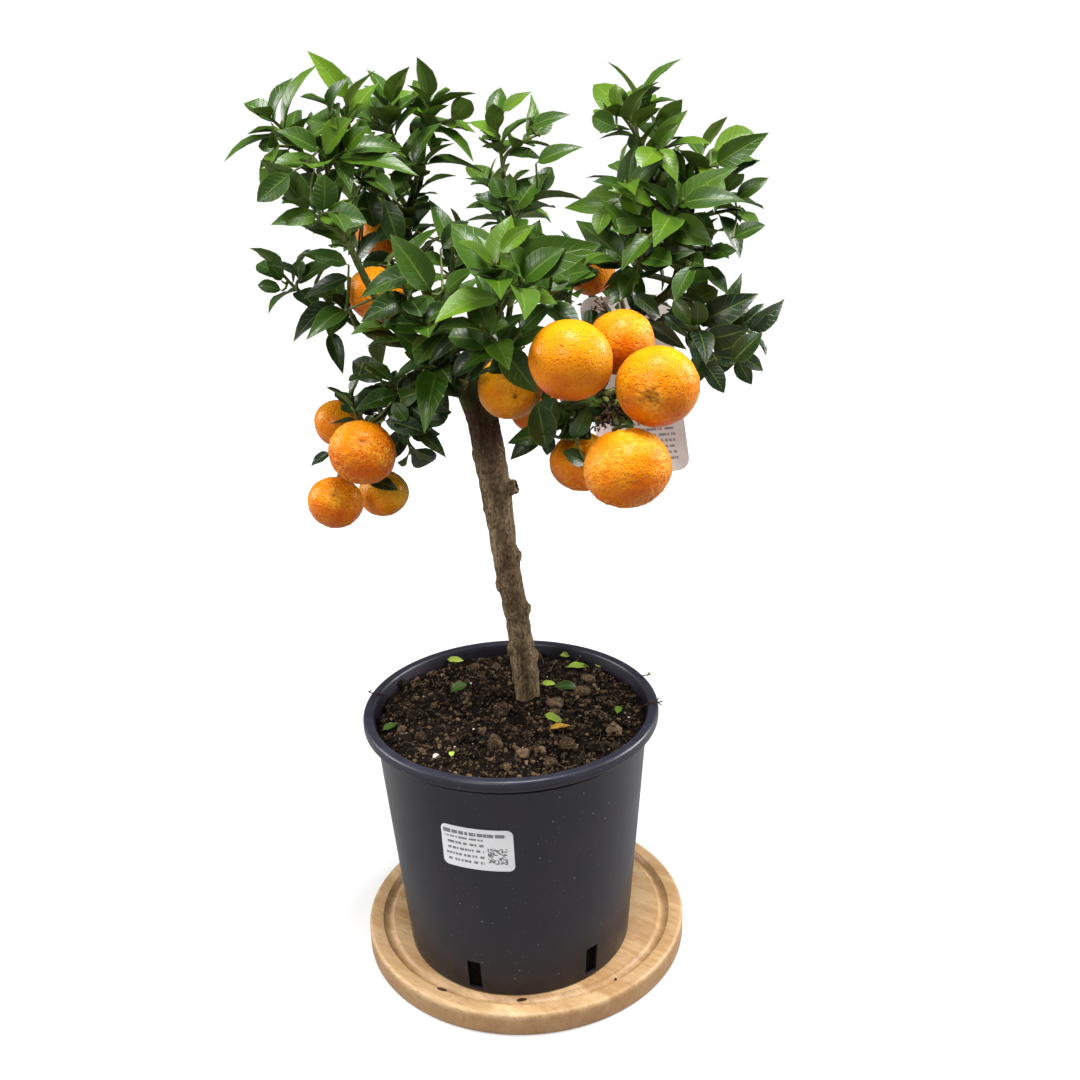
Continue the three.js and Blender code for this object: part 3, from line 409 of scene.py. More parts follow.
for vert in label.verts:
    height = vert.co.z / MM + LABEL_MIDDLE - POT_BASE
    wall = FOOT_RADIUS + height * (HEAD_RADIUS - FOOT_RADIUS) / WALL_HEIGHT + 0.35 - vert.co.y / MM
    turn = vert.co.x / (wall * MM) + math.radians(LABEL_TURN)
    vert.co = Vector((wall * math.sin(turn), -wall * math.cos(turn), vert.co.z / MM + LABEL_MIDDLE)) * MM
piece_of(settled(label), "white_label", [label_paper], ["pot_label"])

# Soil: peat and composted bark that fills the pot to a finger under its lip. Its top is crumbly, with
# clods pressed into it, paler bark, a few white perlite grains and loose root hairs.
SOIL_TOP, SOIL_EDGE, SOIL_RADIUS = 192, 188.8, 90.4


def soil_height(x, y):
    """Height of the soil at a place from the pot's axis, all in millimetres."""
    out = min(math.hypot(x, y) / SOIL_RADIUS, 1)
    rise = SOIL_TOP + (SOIL_EDGE - SOIL_TOP) * out**4
    rise += 1.6 * math.sin(x * 0.21 + 1) * math.cos(y * 0.17 + x * 0.06)
    spot = Vector((x, y, 4))
    rise += 1.5 * noise.noise(spot * 0.11) + 1.1 * noise.noise(spot * 0.29)
    return rise + 0.7 * abs(noise.noise(spot * 0.7))


rings = [(SOIL_RADIUS * i / 64, 200) for i in range(65)]
soil = turned([(0, 21.2), (76.2, 21.2), (SOIL_RADIUS - 0.2, 187)] + list(reversed(rings)), 220)
for vert in soil.verts:
    if vert.co.z > 199 * MM:
        vert.co.z = soil_height(vert.co.x / MM, vert.co.y / MM) * MM
peat, tree, shader = finish_of("damp_peat", 0.95, 0.1)
# Below about 120 mm, deep in the pot where it shows only through the drainage slots, the peat is painted
# near black: painted shade.
deep_shade = level(tree, part_of(tree, spots_of(tree), "Z"), 0.16, 0.12)
painted(tree, shader, (9, 6, 4), ((30, 21, 15), mottled(tree, 140, 0.35, 0.65)),
        ((76, 60, 46), mottled(tree, 620, 0.54, 0.74)), ((11, 8, 6), mottled(tree, 32, 0.5, 0.64)),
        ((9, 7, 6), deep_shade))
relief(tree, shader, grain(tree, spots_of(tree), 900.0, 6.0, 0.75), 0.0012)
piece_of(settled(soil), "peat_soil", [peat], ["soil"], 80)

TRUNK_FOOT = (12, 19)
# Large clods by place and size. A strewn mix of smaller ones follows.
CLODS = [(-7, -5, 11), (-11, -50, 11), (7, -59, 9), (21, -47, 8), (36, -54, 9.5), (54, -53, 8),
         (67, -35, 8.5), (-27, -58, 10.5), (-32, -37, 10.5), (-63, -5, 11), (18, -58, 7), (-80, 48, 9),
         (-50, 38, 8), (-27, 68, 9), (50, 22, 9), (44, 44, 7), (-45, -62, 7), (-4, -72, 6), (24, -70, 7),
         (42, -67, 6.5), (-60, -30, 8), (-73, -18, 6), (66, -52, 6), (77, -22, 6), (10, -36, 7),
         (-20, -30, 6), (-62, 42, 6), (0, 74, 8), (20, 80, 6)]
strewn = random.Random(11)
lump_mesh = bpy.data.meshes.new("lump")


def added(heap, bm):
    """Puts a finished shape into a heap of like ones."""
    bm.to_mesh(lump_mesh)
    bm.free()
    heap.from_mesh(lump_mesh)


def lump(heap, x, y, size, finer=1, sunk=0.25, flat=0.8):
    """Adds a weathered lump of about a size to a heap, part sunk in the soil at a place."""
    bm = bmesh.new()
    bmesh.ops.create_icosphere(bm, subdivisions=finer, radius=size / 2 * MM)
    shade, pale = bm.verts.layers.float.new("tone"), strewn.random()
    shift = Vector((strewn.uniform(-9, 9), strewn.uniform(-9, 9), strewn.uniform(-9, 9)))
    for vert in bm.verts:
        spot = vert.co / (size * MM)
        vert.co *= 1 + 0.42 * noise.noise(spot * 1.7 + shift) + 0.2 * noise.noise(spot * 6 + shift)
        vert[shade] = pale
    squash = Vector((strewn.uniform(0.8, 1.15), strewn.uniform(0.8, 1.15), flat * strewn.uniform(0.8, 1.1)))
    bmesh.ops.scale(bm, verts=bm.verts, vec=squash)
    rolled(bm, strewn.uniform(0, 6.3), "Z")
    moved(bm, (x, y, soil_height(x, y) + size * (0.5 - sunk)))
    added(heap, bm)


def strewn_place(clear=12.0):
    """A chance place on the soil that keeps clear of the trunk."""
    while True:
        turn, out = strewn.uniform(0, 2 * math.pi), 88 * math.sqrt(strewn.random())
        x, y = out * math.cos(turn), out * math.sin(turn)
        if math.hypot(x - TRUNK_FOOT[0], y - TRUNK_FOOT[1]) > clear:
            return x, y


def layer_of(tree, name):
    """A number that the mesh keeps for each of its points."""
    return put(tree, "Attribute", {}, attribute_name=name).outputs["Fac"]


clods = bmesh.new()
for x, y, size in CLODS:
    lump(clods, x, y, size * 1.05, 4)
for _ in range(60):
    lump(clods, *strewn_place(16), strewn.uniform(3, 5.2), 3)
crumbs = bmesh.new()
for _ in range(1300):
    lump(crumbs, *strewn_place(), strewn.uniform(1.3, 3.2), 2, 0.25)
for _ in range(2400):
    lump(crumbs, *strewn_place(), strewn.uniform(0.8, 1.8), 1, 0.1)
clod_earth, tree, shader = finish_of("crumbled_earth", 0.95, 0.1)
painted(tree, shader, (13, 9, 6), ((122, 100, 77), sums(tree, "POWER", layer_of(tree, "tone"), 2.2)),
        ((46, 34, 25), mottled(tree, 75, 0.45, 0.66)), ((138, 118, 92), mottled(tree, 700, 0.52, 0.74)),
        ((18, 12, 8), mottled(tree, 300, 0.5, 0.7)))
relief(tree, shader, grain(tree, spots_of(tree), 1300.0, 5.0, 0.7), 0.0006)
piece_of(settled(clods), "soil_clods", [clod_earth], crease=80)
piece_of(settled(crumbs), "soil_crumbs", [clod_earth], crease=80)

bark_bits = bmesh.new()
for x, y, size in [(-80, 50, 9), (30, 5, 14), (56, 40, 10), (30, -8, 6), (-66, 26, 5), (-10, 62, 7)]:
    lump(bark_bits, x, y, size, 3, 0.3, 0.6)
for _ in range(34):
    lump(bark_bits, *strewn_place(), strewn.uniform(1.6, 4), 2, 0.2, 0.5)
bark_bit, tree, shader = finish_of("composted_bark", 0.85, 0.3)
painted(tree, shader, (70, 52, 36), ((122, 100, 76), mottled(tree, 190, 0.35, 0.65)),
        ((40, 30, 22), mottled(tree, 520, 0.5, 0.7)))
relief(tree, shader, mottled(tree, 700, 0.3, 0.7), 0.0008)
piece_of(settled(bark_bits), "bark_bits", [bark_bit], crease=60)

def clouded_finish(name, roughness, specular, paint, clouds, scale, low=0.4, high=0.6):
    """A simple dull finish: one paint with clouds of a second one over it."""
    material, tree, shader = finish_of(name, roughness, specular)
    painted(tree, shader, paint, (clouds, mottled(tree, scale, low, high)))
    return material


perlite = bmesh.new()
lump(perlite, -49, -55, 3.8, 2, 0.15)
for _ in range(26):
    lump(perlite, *strewn_place(), strewn.uniform(0.7, 1.7), 1, 0.15)
perlite_grain = clouded_finish("perlite", 0.8, 0.5, (236, 228, 218), (186, 172, 158), 700)
piece_of(settled(perlite), "perlite_grains", [perlite_grain], crease=60)


def stems_of(lines, roundness=2):
    """Tubes along lines of points in millimetres, each point with its own radius."""
    curve = bpy.data.curves.new("stems", "CURVE")
    curve.dimensions, curve.use_fill_caps = "3D", True
    curve.bevel_depth, curve.bevel_resolution = MM, roundness
    for points, radii in lines:
        spline = curve.splines.new("POLY")
        spline.points.add(len(points) - 1)
        for spot, point, radius in zip(spline.points, points, radii):
            spot.co = (*(Vector(point) * MM + POT_AXIS), 1)
            spot.radius = radius
    return worked(shown("stems", curve))


hairs = []
for _ in range(70):
    x, y = strewn_place()
    turn, length = strewn.uniform(0, 6.3), strewn.uniform(5, 15)
    hair = []
    for i in range(6):
        turn += strewn.uniform(-0.5, 0.5)
        x, y = x + length / 5 * math.cos(turn), y + length / 5 * math.sin(turn)
        hair.append((x, y, soil_height(x, y) + 0.5 + 1.3 * math.sin(i * 0.63)))
    if math.hypot(x, y) < 88 and math.hypot(hair[0][0], hair[0][1]) < 88:
        hairs.append((hair, [0.16] * 6))
root_hair = clouded_finish("root_hair", 0.8, 0.5, (120, 92, 66), (74, 54, 40), 200)
piece_of(stems_of(hairs, 0), "root_hairs", [root_hair])

# Litter: brown bits that lie in the board's groove, and dry twig ends and a hair on the pot's lip.
# Rows of bits: place, turn and length.
BITS = [((-54.7, -68.9, 18.5), -0.45, 8), ((-0.6, -80.3, 16.5), 0.1, 7.5), ((64, -64, 15.7), 0.7, 1.6)]
litter = bmesh.new()
for place, turn, length in BITS:
    bit = bmesh.new()
    bmesh.ops.create_icosphere(bit, subdivisions=2, radius=MM)
    bmesh.ops.scale(bit, verts=bit.verts, vec=(length / 2, 1.1, 0.8))
    rolled(bit, turn, "Z")
    moved(bit, place)
    added(litter, bit)
twig_end = clouded_finish("dry_twig", 0.9, 0.1, (84, 54, 34), (24, 17, 12), 500)
piece_of(settled(litter), "board_litter", [twig_end], crease=60)
LIP_TWIGS = [[(88, 30, 195), (93, 30, 198.6), (96, 29, 199.4), (98, 28, 202)],
             [(96, 29, 199.4), (99, 30, 199.6)],
             [(89, -8, 195), (94, -9, 198.8), (99, -10, 199), (102, -11, 200)],
             [(97, -10, 199), (100, -7, 200.4)],
             [(99, -10, 199), (101, -13, 198.4)],
             [(-88, 22, 196), (-93, 21, 199), (-96, 20, 199.4), (-98, 18, 201.6), (-96, 17, 203)]]
twigs = [(points, [0.42] * len(points)) for points in LIP_TWIGS]
piece_of(stems_of(twigs, 1), "lip_twigs", [twig_end])

# Tree: the trunk and the limbs are one grown body. The bark is grey-brown with fine upright grain and
# pale lenticels, darker at the trunk's head and green where the wood is young. It has knots, a cut
# stub with a hollow end, and pale scars where twigs were taken off.
# Rows of the trunk: place and radius. Of the knots: height, compass turn and radius. The stub has its
# reach as well, and a scar its half width and half height. A limb has its points, and a radius at its
# root and at its end.
TRUNK = [(12, 19, 150, 8.6), (12, 19, 172, 8.6), (12, 19, 192, 8.6), (10, 19, 220, 8.8), (6, 19, 258, 8.4),
         (1.7, 19, 288, 8.6), (-0.8, 19, 323, 8.8), (-2.9, 19, 351, 9.5), (-6.3, 18, 378, 9.3),
         (-11, 17, 400, 9.8), (-17, 14, 416, 9)]
KNOTS = [(223, -8, 5.4), (229, 190, 4.2), (260, -15, 4.6), (298, -10, 4.6), (369, 188, 4.6), (331, 186, 3.6),
         (277, 190, 3.8), (363, -80, 2.6), (246, -100, 2.8), (206, 200, 3.4)]
STUB = (343, -12, 14.2)
SCARS = [(315, -92, 3.4, 4.4), (330, 205, 3, 4), (278, 196, 3, 3.6), (298, -14, 2.6, 3), (260, -22, 2.8, 3),
         (369, 196, 2.8, 3)]
LIMBS = {
    "left": ([(-15, 13, 408), (-36, -8, 437), (-49, -27, 452), (-60, -42, 470), (-70, -46, 492),
              (-81, -38, 517), (-92, -25, 537), (-102, -13, 556)], 4.6, 2),
    "leftLow": ([(-49, -27, 452), (-69, -12, 452), (-89, 0, 463), (-111, 0, 477)], 2.8, 2),
    "droop": ([(-16, 14, 410), (-38, 2, 416), (-59, -10, 412), (-78, -20, 403)], 4, 2.2),
    "back": ([(-16, 16, 410), (-29, 30, 436), (-40, 40, 465), (-50, 41, 497), (-51, 40, 518), (-42, 40, 538),
              (-38, 40, 561)], 6.4, 2.4),
    "backLeft": ([(-50, 41, 500), (-60, 30, 524), (-68, 20, 545), (-76, 4, 565)], 3.2, 2),
    "middle": ([(-12, 17, 410), (-4, 32, 438), (5, 42, 466), (11, 50, 499), (9, 50, 541)], 5, 2.2),
    "front": ([(-13, 10, 414), (-13, -22, 441), (-6, -52, 460), (3, -80, 482)], 4.4, 2.2),
    "right": ([(-8, 16, 406), (16, 20, 421), (40, 20, 430), (62, 8, 444), (82, 0, 457), (106, 0, 473),
               (112, 0, 496), (103, 0, 520), (94, 0, 538), (88, 0, 557)], 7, 2.2),
    "rightLow": ([(104, 0, 472), (118, -3, 466), (137, -4, 456)], 2.8, 2),
    "rightFar": ([(111, 0, 490), (118, 2, 510), (120, 1, 533)], 2.8, 2),
    "fruiting": ([(-8, 14, 398), (13, -8, 407), (34, -29, 411), (52, -52, 418), (62, -74, 430)], 5.4, 3.2),
    "rearLeft": ([(-14, 18, 408), (-34, 52, 434), (-56, 78, 462), (-72, 88, 496)], 4.4, 2),
    "rear": ([(-10, 20, 406), (4, 56, 432), (12, 84, 462), (14, 94, 499)], 4.4, 2),
    "rearRight": ([(40, 20, 430), (64, 48, 446), (84, 68, 470), (90, 76, 505)], 4, 2),
}


def smooth_line(points):
    """The place at a share of a smooth line through points."""
    rows = np.array(points, float)
    rows = np.vstack([2 * rows[0] - rows[1], rows, 2 * rows[-1] - rows[-2]])
    spans = len(points) - 1

    def place(share):
        span = min(int(share * spans), spans - 1)
        t = share * spans - span
        before, start, end, after = rows[span:span + 4]
        leave, arrive = (end - before) / 2, (after - start) / 2
        rise = 3 * (end - start) - 2 * leave - arrive
        return start + leave * t + rise * t**2 + (2 * (start - end) + leave + arrive) * t**3

    return place


def bowed_line(start, bend, end):
    return lambda share: (1 - share) ** 2 * start + 2 * (1 - share) * share * bend + share**2 * end


def unit(way):
    return way / np.linalg.norm(way)


def heading(line, share):
    return unit(line(min(share + 1e-4, 1)) - line(max(share - 1e-4, 0)))


def blend(first, second, share):
    return first + (second - first) * share


def clamped(value):
    return min(max(value, 0), 1)


def hump(off, spread, power=2):
    """A soft hump: one where off is nought, and nearly nought beyond twice the spread."""
    return math.exp(-((off / spread) ** power))


def trunk_bow(height):
    """How far the upper trunk bows to the left of its middle line."""
    return 2.0 * hump(height - 362, 46)


def trunk_at(height):
    rows = np.array(TRUNK)
    x, y = (np.interp(height, rows[:, 2], rows[:, i]) for i in (0, 1))
    return np.array([x - trunk_bow(height), y, height])


def compass(turn, rise=0.0):
    return np.array([math.cos(math.radians(turn)), math.sin(math.radians(turn)), rise])


limb_lines = {name: smooth_line(points) for name, (points, _, _) in LIMBS.items()}
wood_lines, wood_samples = [], []
trunk_line = smooth_line(TRUNK)
trunk_run = [trunk_line(i / 80) for i in range(81)]
trunk_radii = [radius * (1 + 0.05 * noise.noise(Vector((z * 0.05, 3, 1)))) + 0.5 * trunk_bow(z)
               for x, y, z, radius in trunk_run]
wood_lines.append(([(x - trunk_bow(z), y, z) for x, y, z, _ in trunk_run], trunk_radii))
wood_samples += [(row[:3], 0.34 * clamped((row[2] - 352) / 30)) for row in trunk_run]
for name, (points, thick, thin) in LIMBS.items():
    steps = 10 * (len(points) - 1)
    run = [limb_lines[name](i / steps) for i in range(steps + 1)]
    radii = []
    for i, point in enumerate(run):
        share = i / steps
        lean_radius = blend(thick, 0.75 * thin, share**0.45)
        uneven = 1 + 0.09 * noise.noise(Vector(point) * 0.09)
        radii.append(lean_radius * uneven + 1.2 * math.exp(-share * steps / 6))
        wood_samples.append((point, clamped((6.6 - lean_radius) / 4.4) * 0.7 + 0.3))
    wood_lines.append((run, radii))
height, turn, reach = STUB
stub_root = trunk_at(height)
stub_way = compass(turn, 0.34)
stub_run = [stub_root + stub_way * reach * i / 6 for i in range(7)]
wood_lines.append((stub_run, [5.4, 5.4, 5.3, 5.1, 5, 4.9, 4.5]))
stub_end = stub_root + stub_way * reach
body = bmesh.new()
body.from_mesh(stems_of(wood_lines, 5))
for height, turn, radius in KNOTS:
    knot = bmesh.new()
    bmesh.ops.create_icosphere(knot, subdivisions=3, radius=radius * MM)
    place = trunk_at(height) + compass(turn, 0.1) * (8.6 - radius * 0.6)
    bmesh.ops.scale(knot, verts=knot.verts, vec=(1, 1, 1.25))
    moved(knot, place, POT_AXIS)
    added(body, knot)


def fused(mesh, voxel, ease):
    """One skin over all the closed bodies of a mesh, eased where they meet."""
    holder = shown("fusing", mesh)
    skin = holder.modifiers.new("skin", "REMESH")
    skin.mode, skin.voxel_size = "VOXEL", voxel * MM
    easing = holder.modifiers.new("easing", "SMOOTH")
    easing.factor, easing.iterations = 0.5, ease
    return worked(holder)


def value_layer(mesh, name, values):
    """Keeps a number for each point of a mesh, for its finish to read."""
    layer = mesh.attributes.new(name, "FLOAT", "POINT")
    layer.data.foreach_set("value", np.asarray(values, np.float32))


wood = fused(settled(body, Vector()), 0.85, 5)
count = len(wood.vertices)
places, outs = np.empty(count * 3), np.empty(count * 3)
wood.vertices.foreach_get("co", places)
wood.vertices.foreach_get("normal", outs)
places, outs = places.reshape(-1, 3), outs.reshape(-1, 3)
lookup = kdtree.KDTree(len(wood_samples))
for i, (point, _) in enumerate(wood_samples):
    lookup.insert(point, i)
lookup.balance()
spots = (places - np.array(POT_AXIS)) / MM
youth, scar, hollow, rise = np.zeros((4, count))
for i, spot in enumerate(spots):
    spot = Vector(spot)
    youth[i] = sum(wood_samples[found[1]][1] for found in lookup.find_n(spot, 3)) / 3
    ridge = noise.noise(Vector((spot.x * 0.6, spot.y * 0.6, spot.z * 0.07)))
    lumpy = 0.75 * noise.noise(spot * 0.13) + 0.35 * noise.noise(spot * 0.37)
    rise[i] = (1 - 0.6 * youth[i]) * (lumpy + 0.22 * ridge) + 0.2 * noise.noise(spot * 0.95)
for height, turn, wide, tall in SCARS:
    middle = trunk_at(height) + compass(turn) * 9.4
    off = spots - middle
    side = compass(turn + 90)
    away = np.sqrt((off @ side / wide) ** 2 + (off[:, 2] / tall) ** 2)
    facing = (off @ compass(turn) > -5) & (np.linalg.norm(off, axis=1) < 9)
    scar = np.maximum(scar, np.where(facing, np.clip((1.05 - away) / 0.25, 0, 1), 0))
    rise += np.where(facing, 0.7 * np.exp(-((away - 1.05) / 0.28) ** 2) - 0.25 * (away < 0.8), 0)
places += outs * rise[:, None] * MM
HOLLOW_RADIUS, HOLLOW_DEPTH = 3.4, 3.2
off = spots - stub_end
along_stub = off @ unit(stub_way)
from_axis = np.linalg.norm(off - along_stub[:, None] * unit(stub_way), axis=1)
in_stub = (np.abs(along_stub) < 3) & (from_axis < HOLLOW_RADIUS)
hollow[in_stub] = 1
dip = HOLLOW_DEPTH * np.clip(1 - (from_axis[in_stub] / HOLLOW_RADIUS) ** 2, 0, 1)
places[in_stub] -= stub_way * dip[:, None] * MM
wood.vertices.foreach_set("co", places.ravel())
wood.update()
for name, values in (("youth", youth), ("scar", scar), ("hollow", hollow)):
    value_layer(wood, name, values)
bark, tree, shader = finish_of("citrus_bark", 0.8, 0.15)
age = layer_of(tree, "youth")
streaks = mottled(tree, 420, 0.4, 0.66, 0.1)
patches = mottled(tree, 55, 0.36, 0.66, 0.45)
flaky = mottled(tree, 620, 0.47, 0.6, 0.6)
old = coated(tree, (104, 84, 61), ((148, 127, 98), patches), ((52, 39, 26), streaks, 0.36),
             ((42, 30, 19), flaky, 0.55))
brown = coated(tree, (74, 50, 35), ((46, 31, 21), streaks))
green = coated(tree, (54, 64, 26), ((78, 84, 40), patches))
painted(tree, shader, old, (brown, level(tree, age, 0.05, 0.4)), (green, level(tree, age, 0.45, 0.9)),
        ((168, 150, 126), specked(tree, 420, 0.24, 0.16), 0.45),
        ((120, 106, 74), layer_of(tree, "scar"), 0.5), ((46, 33, 26), layer_of(tree, "hollow")))
relief(tree, shader, sums(tree, "SUBTRACT", streaks, flaky), 0.0005, 0.9)
piece_of(wood, "trunk_and_limbs", [bark], ["tree"], 60)

# Fruit: orange berries with a coarse, glossy rind full of oil glands. Ribs run from the stem end, and
# a dark style scar in a ring of pale bumps marks the other end.
# Rows: centre, width, way to the stem, limb and place along it, bend of the stalk, how many radii stay
# free of leaves, and how yellow, how coarse and how green the rind is.
FRUITS = [
    ((-81, -40, 391), 40, (0.25, 0.85, 0.47), "droop", 0.96, None, 2, 0.0, 0.8, 0.0),
    ((-102, -24, 355), 34, (0.1, 0.75, 0.6), "droop", 0.92, (-95, -4, 392), 2, 0.15, 0.8, 0.0),
    ((-99, 4, 397), 32, (0.5, 0.1, 0.85), "droop", 0.85, (-82, 2, 418), 0, 0.35, 0.5, 0.1),
    ((-75, 2, 351), 32, (-0.1, 0.2, 0.97), "droop", 0.9, (-75, 4, 392), 0, 0.8, 0.5, 0.7),
    ((-67, -20, 480), 35, (0.3, 0.35, 0.89), "back", 0.48, (-56, 6, 506), 2, 0.4, 0.5, 0.0),
    ((-69, 60, 505), 34, (0.4, -0.2, 0.89), "back", 0.62, (-58, 54, 530), 0, 0.4, 0.5, 0.0),
    ((40, -100, 455), 45.4, (0.35, 0.75, 0.56), "fruiting", 0.8, (58, -66, 452), 2, 0.6, 0.1, 0.5),
    ((71, -55, 454), 39, (-0.2, 0.72, 0.66), "right", 0.34, (60, -22, 470), 1, 0.35, 0.8, 0.0),
    ((87, -95, 438), 45.6, (0.05, 0.86, 0.5), "fruiting", 0.96, (82, -64, 436), 2, 0.5, 0.55, 0.0),
    ((70, -100, 394), 48.4, (-0.15, 0.35, 0.92), "fruiting", 0.93, (62, -86, 428), 2, 0.3, 1.0, 0.0),
    ((49, -40, 380), 39, (0.05, 0.3, 0.95), "fruiting", 0.62, None, 0, 0.3, 0.5, 0.0),
    ((8, -32, 425), 39, (-0.3, 0.9, 0.3), "front", 0.1, (-4, 0, 430), 1, 0.95, 0.6, 0.0),
    ((23, 10, 400), 31, (-0.35, 0.4, 0.85), "right", 0.12, None, 0, 0.4, 0.4, 0.2),
    ((62, 42, 480), 32, (0.75, 0.2, -0.63), "right", 0.42, (84, 30, 462), 0, 0.5, 0.4, 0.1),
]
# The style scar isn't always opposite the stem. These fruits turn theirs this way.
STYLE_WAYS = {1: (0.1, -0.83, 0.55), 2: (0.08, -0.84, 0.53), 7: (0.3, 0.2, -0.93), 9: (-0.3, -0.95, -0.08),
              12: (0.17, -0.98, -0.09)}
# Brown marks on the rind: the way they face and their spread.
BLEMISHES = {9: ((-0.3, -0.95, -0.04), 0.2), 12: ((0.17, -0.98, -0.09), 0.09), 7: ((-0.25, -0.8, 0.5), 0.05)}
FRUIT_SQUASH = 0.9
rind, tree, shader = finish_of("orange_rind", 0.42, 0.13, 0.06)
shader.inputs["Coat Roughness"].default_value = 0.22
shader.inputs["Subsurface Weight"].default_value = 0.04
shader.inputs["Subsurface Radius"].default_value = (1.0, 0.35, 0.05)
shader.inputs["Subsurface Scale"].default_value = 0.003
glands = {"Vector": spots_of(tree), "Scale": 720.0, "Randomness": 0.9}
from_gland = put(tree, "TexVoronoi", glands, feature="SMOOTH_F1").outputs["Distance"]
pits = level(tree, from_gland, 0.42, 0.05)
# A coarse fruit's sides and underside are painted pale peach: real pebbling, and a painted rim light from
# the side lamps and the floor.
rough, pebbled = layer_of(tree, "rough"), layer_of(tree, "pebbled")
# Each fruit's top is painted yellower: its own yellowness, a random tone, and painted light from above.
painted(tree, shader, (204, 84, 1), ((244, 168, 8), layer_of(tree, "yellow_and_toplit")),
        ((228, 128, 6), mottled(tree, 70, 0.3, 0.7), 0.25), ((150, 148, 22), layer_of(tree, "unripe"), 0.75),
        ((178, 66, 2), times(tree, pits, level(tree, rough, 0.1, 0.6, 0.14, 0.36))),
        ((250, 190, 66), pebbled, 0.5), ((96, 56, 22), layer_of(tree, "blemish")))
feed(tree, shader.inputs["Roughness"], level(tree, pebbled, 0, 1, 0.33, 0.5))
bumpy = times(tree, rough, mottled(tree, 330, 0.3, 0.75))
relief(tree, shader, sums(tree, "SUBTRACT", bumpy, pits), 0.0005, 0.9)
stalks, fruit_middles = [], []
for number, fruit in enumerate(FRUITS, 1):
    centre, width, stem_way, limb, place, bend, free, yellow, coarse, unripe = fruit
    bm = bmesh.new()
    bmesh.ops.create_uvsphere(bm, u_segments=112, v_segments=72, radius=1)
    up = Vector(stem_way).normalized()
    upright = Vector((0, 0, 1)).rotation_difference(up).to_matrix()
    style = Vector(STYLE_WAYS.get(number, [-part for part in up])).normalized()
    style_side = style.orthogonal().normalized()
    style_front = style.cross(style_side)
    radius = width / 2
    shift = Vector((number * 7.3, number * 3.1, number * 1.7))
    mark_way, mark_spread = BLEMISHES.get(number, ((0, 0, 1), 0))
    masks = {"yellow_and_toplit": [], "pebbled": [], "unripe": [], "blemish": [], "rough": []}
    for vert in bm.verts:
        spot = vert.co.normalized()
        way = upright @ spot
        polar, turn = math.acos(max(-1, min(1, spot.z))), math.atan2(spot.y, spot.x)
        tail = math.acos(max(-1, min(1, way.dot(style))))
        round_style = math.atan2(way.dot(style_front), way.dot(style_side))
        wavy = 0.012 * (0.4 + coarse) * noise.noise(spot * 3.6 + shift)
        ribs = 0.022 * math.cos(6 * turn + number) * hump(polar - 0.42, 0.22)
        size = 1 + 0.024 * noise.noise(spot * 1.4 + shift) + wavy + ribs
        size -= 0.05 * hump(polar, 0.2) + 0.03 * hump(tail, 0.09)
        rays = math.cos(8 * round_style + 4 * noise.noise(spot * 3 + shift))
        star = hump(tail - 0.26, 0.11) * (0.5 + 0.5 * rays)
        pebble = noise.noise(spot * 12 + shift) + 0.6 * noise.noise(spot * 23 - shift)
        patch = max(noise.noise(way * 1.6 - shift) + 0.2, 0) * coarse
        # A coarse fruit's sides and underside get pale peach pebbling: real pebbling, and a painted rim of
        # light from the side lamps and the floor.
        rim = (max(abs(way.x) - 0.55, 0) + max(-way.z - 0.45, 0) * 0.6) * coarse
        rugged = coarse * (0.3 + 0.7 * min(1.6 * (patch + rim), 1))
        size += (0.003 + 0.022 * rugged) * pebble + 0.016 * star
        vert.co = upright @ Vector((spot.x, spot.y, spot.z * FRUIT_SQUASH)) * size * radius * MM
        # The top of each fruit is painted yellower: painted light from above, added to the fruit's own
        # yellowness and a random tone.
        light = 0.12 + 0.5 * yellow + 0.5 * way.z * (0.6 + 0.4 * yellow)
        light += 0.3 * noise.noise(way * 1.8 + shift)
        cast = max(0.7 * way.x - 0.2 * way.y + 0.3 * way.z, 0) + 0.8 * hump(polar, 0.5)
        mark = hump(tail, 0.05, 4)
        if mark_spread:
            off = (way - Vector(mark_way).normalized()).length * (1 + 0.5 * noise.noise(spot * 9))
            mark = max(mark, hump(off, mark_spread, 4) * (0.55 + 0.9 * noise.noise(spot * 16)))
        masks["yellow_and_toplit"].append(clamped(light))
        masks["rough"].append(min(0.15 + 0.85 * rugged, 1))
        masks["pebbled"].append(clamped(2.4 * (patch + 1.6 * rim) * max(pebble + 0.2, 0) + 0.7 * star))
        masks["unripe"].append(clamped(unripe * cast * (1 + 0.5 * noise.noise(spot * 3))))
        masks["blemish"].append(clamped(mark))
    moved(bm, centre)
    mesh = settled(bm)
    for name, values in masks.items():
        value_layer(mesh, name, values)
    piece_of(mesh, f"chinotto_{number:02d}", [rind], [f"fruit_{number:02d}"], 80)
    rest = np.array(centre) + np.array(up) * (radius * FRUIT_SQUASH + 0.3)
    start = limb_lines[limb](place)
    seat = rest + np.array(up) * 2
    middle = np.array(bend, float) if bend else (start + seat) / 2
    stalks.append((start, middle, seat, rest, np.array(up)))
    fruit_middles.append((np.array(centre, float), radius, free))
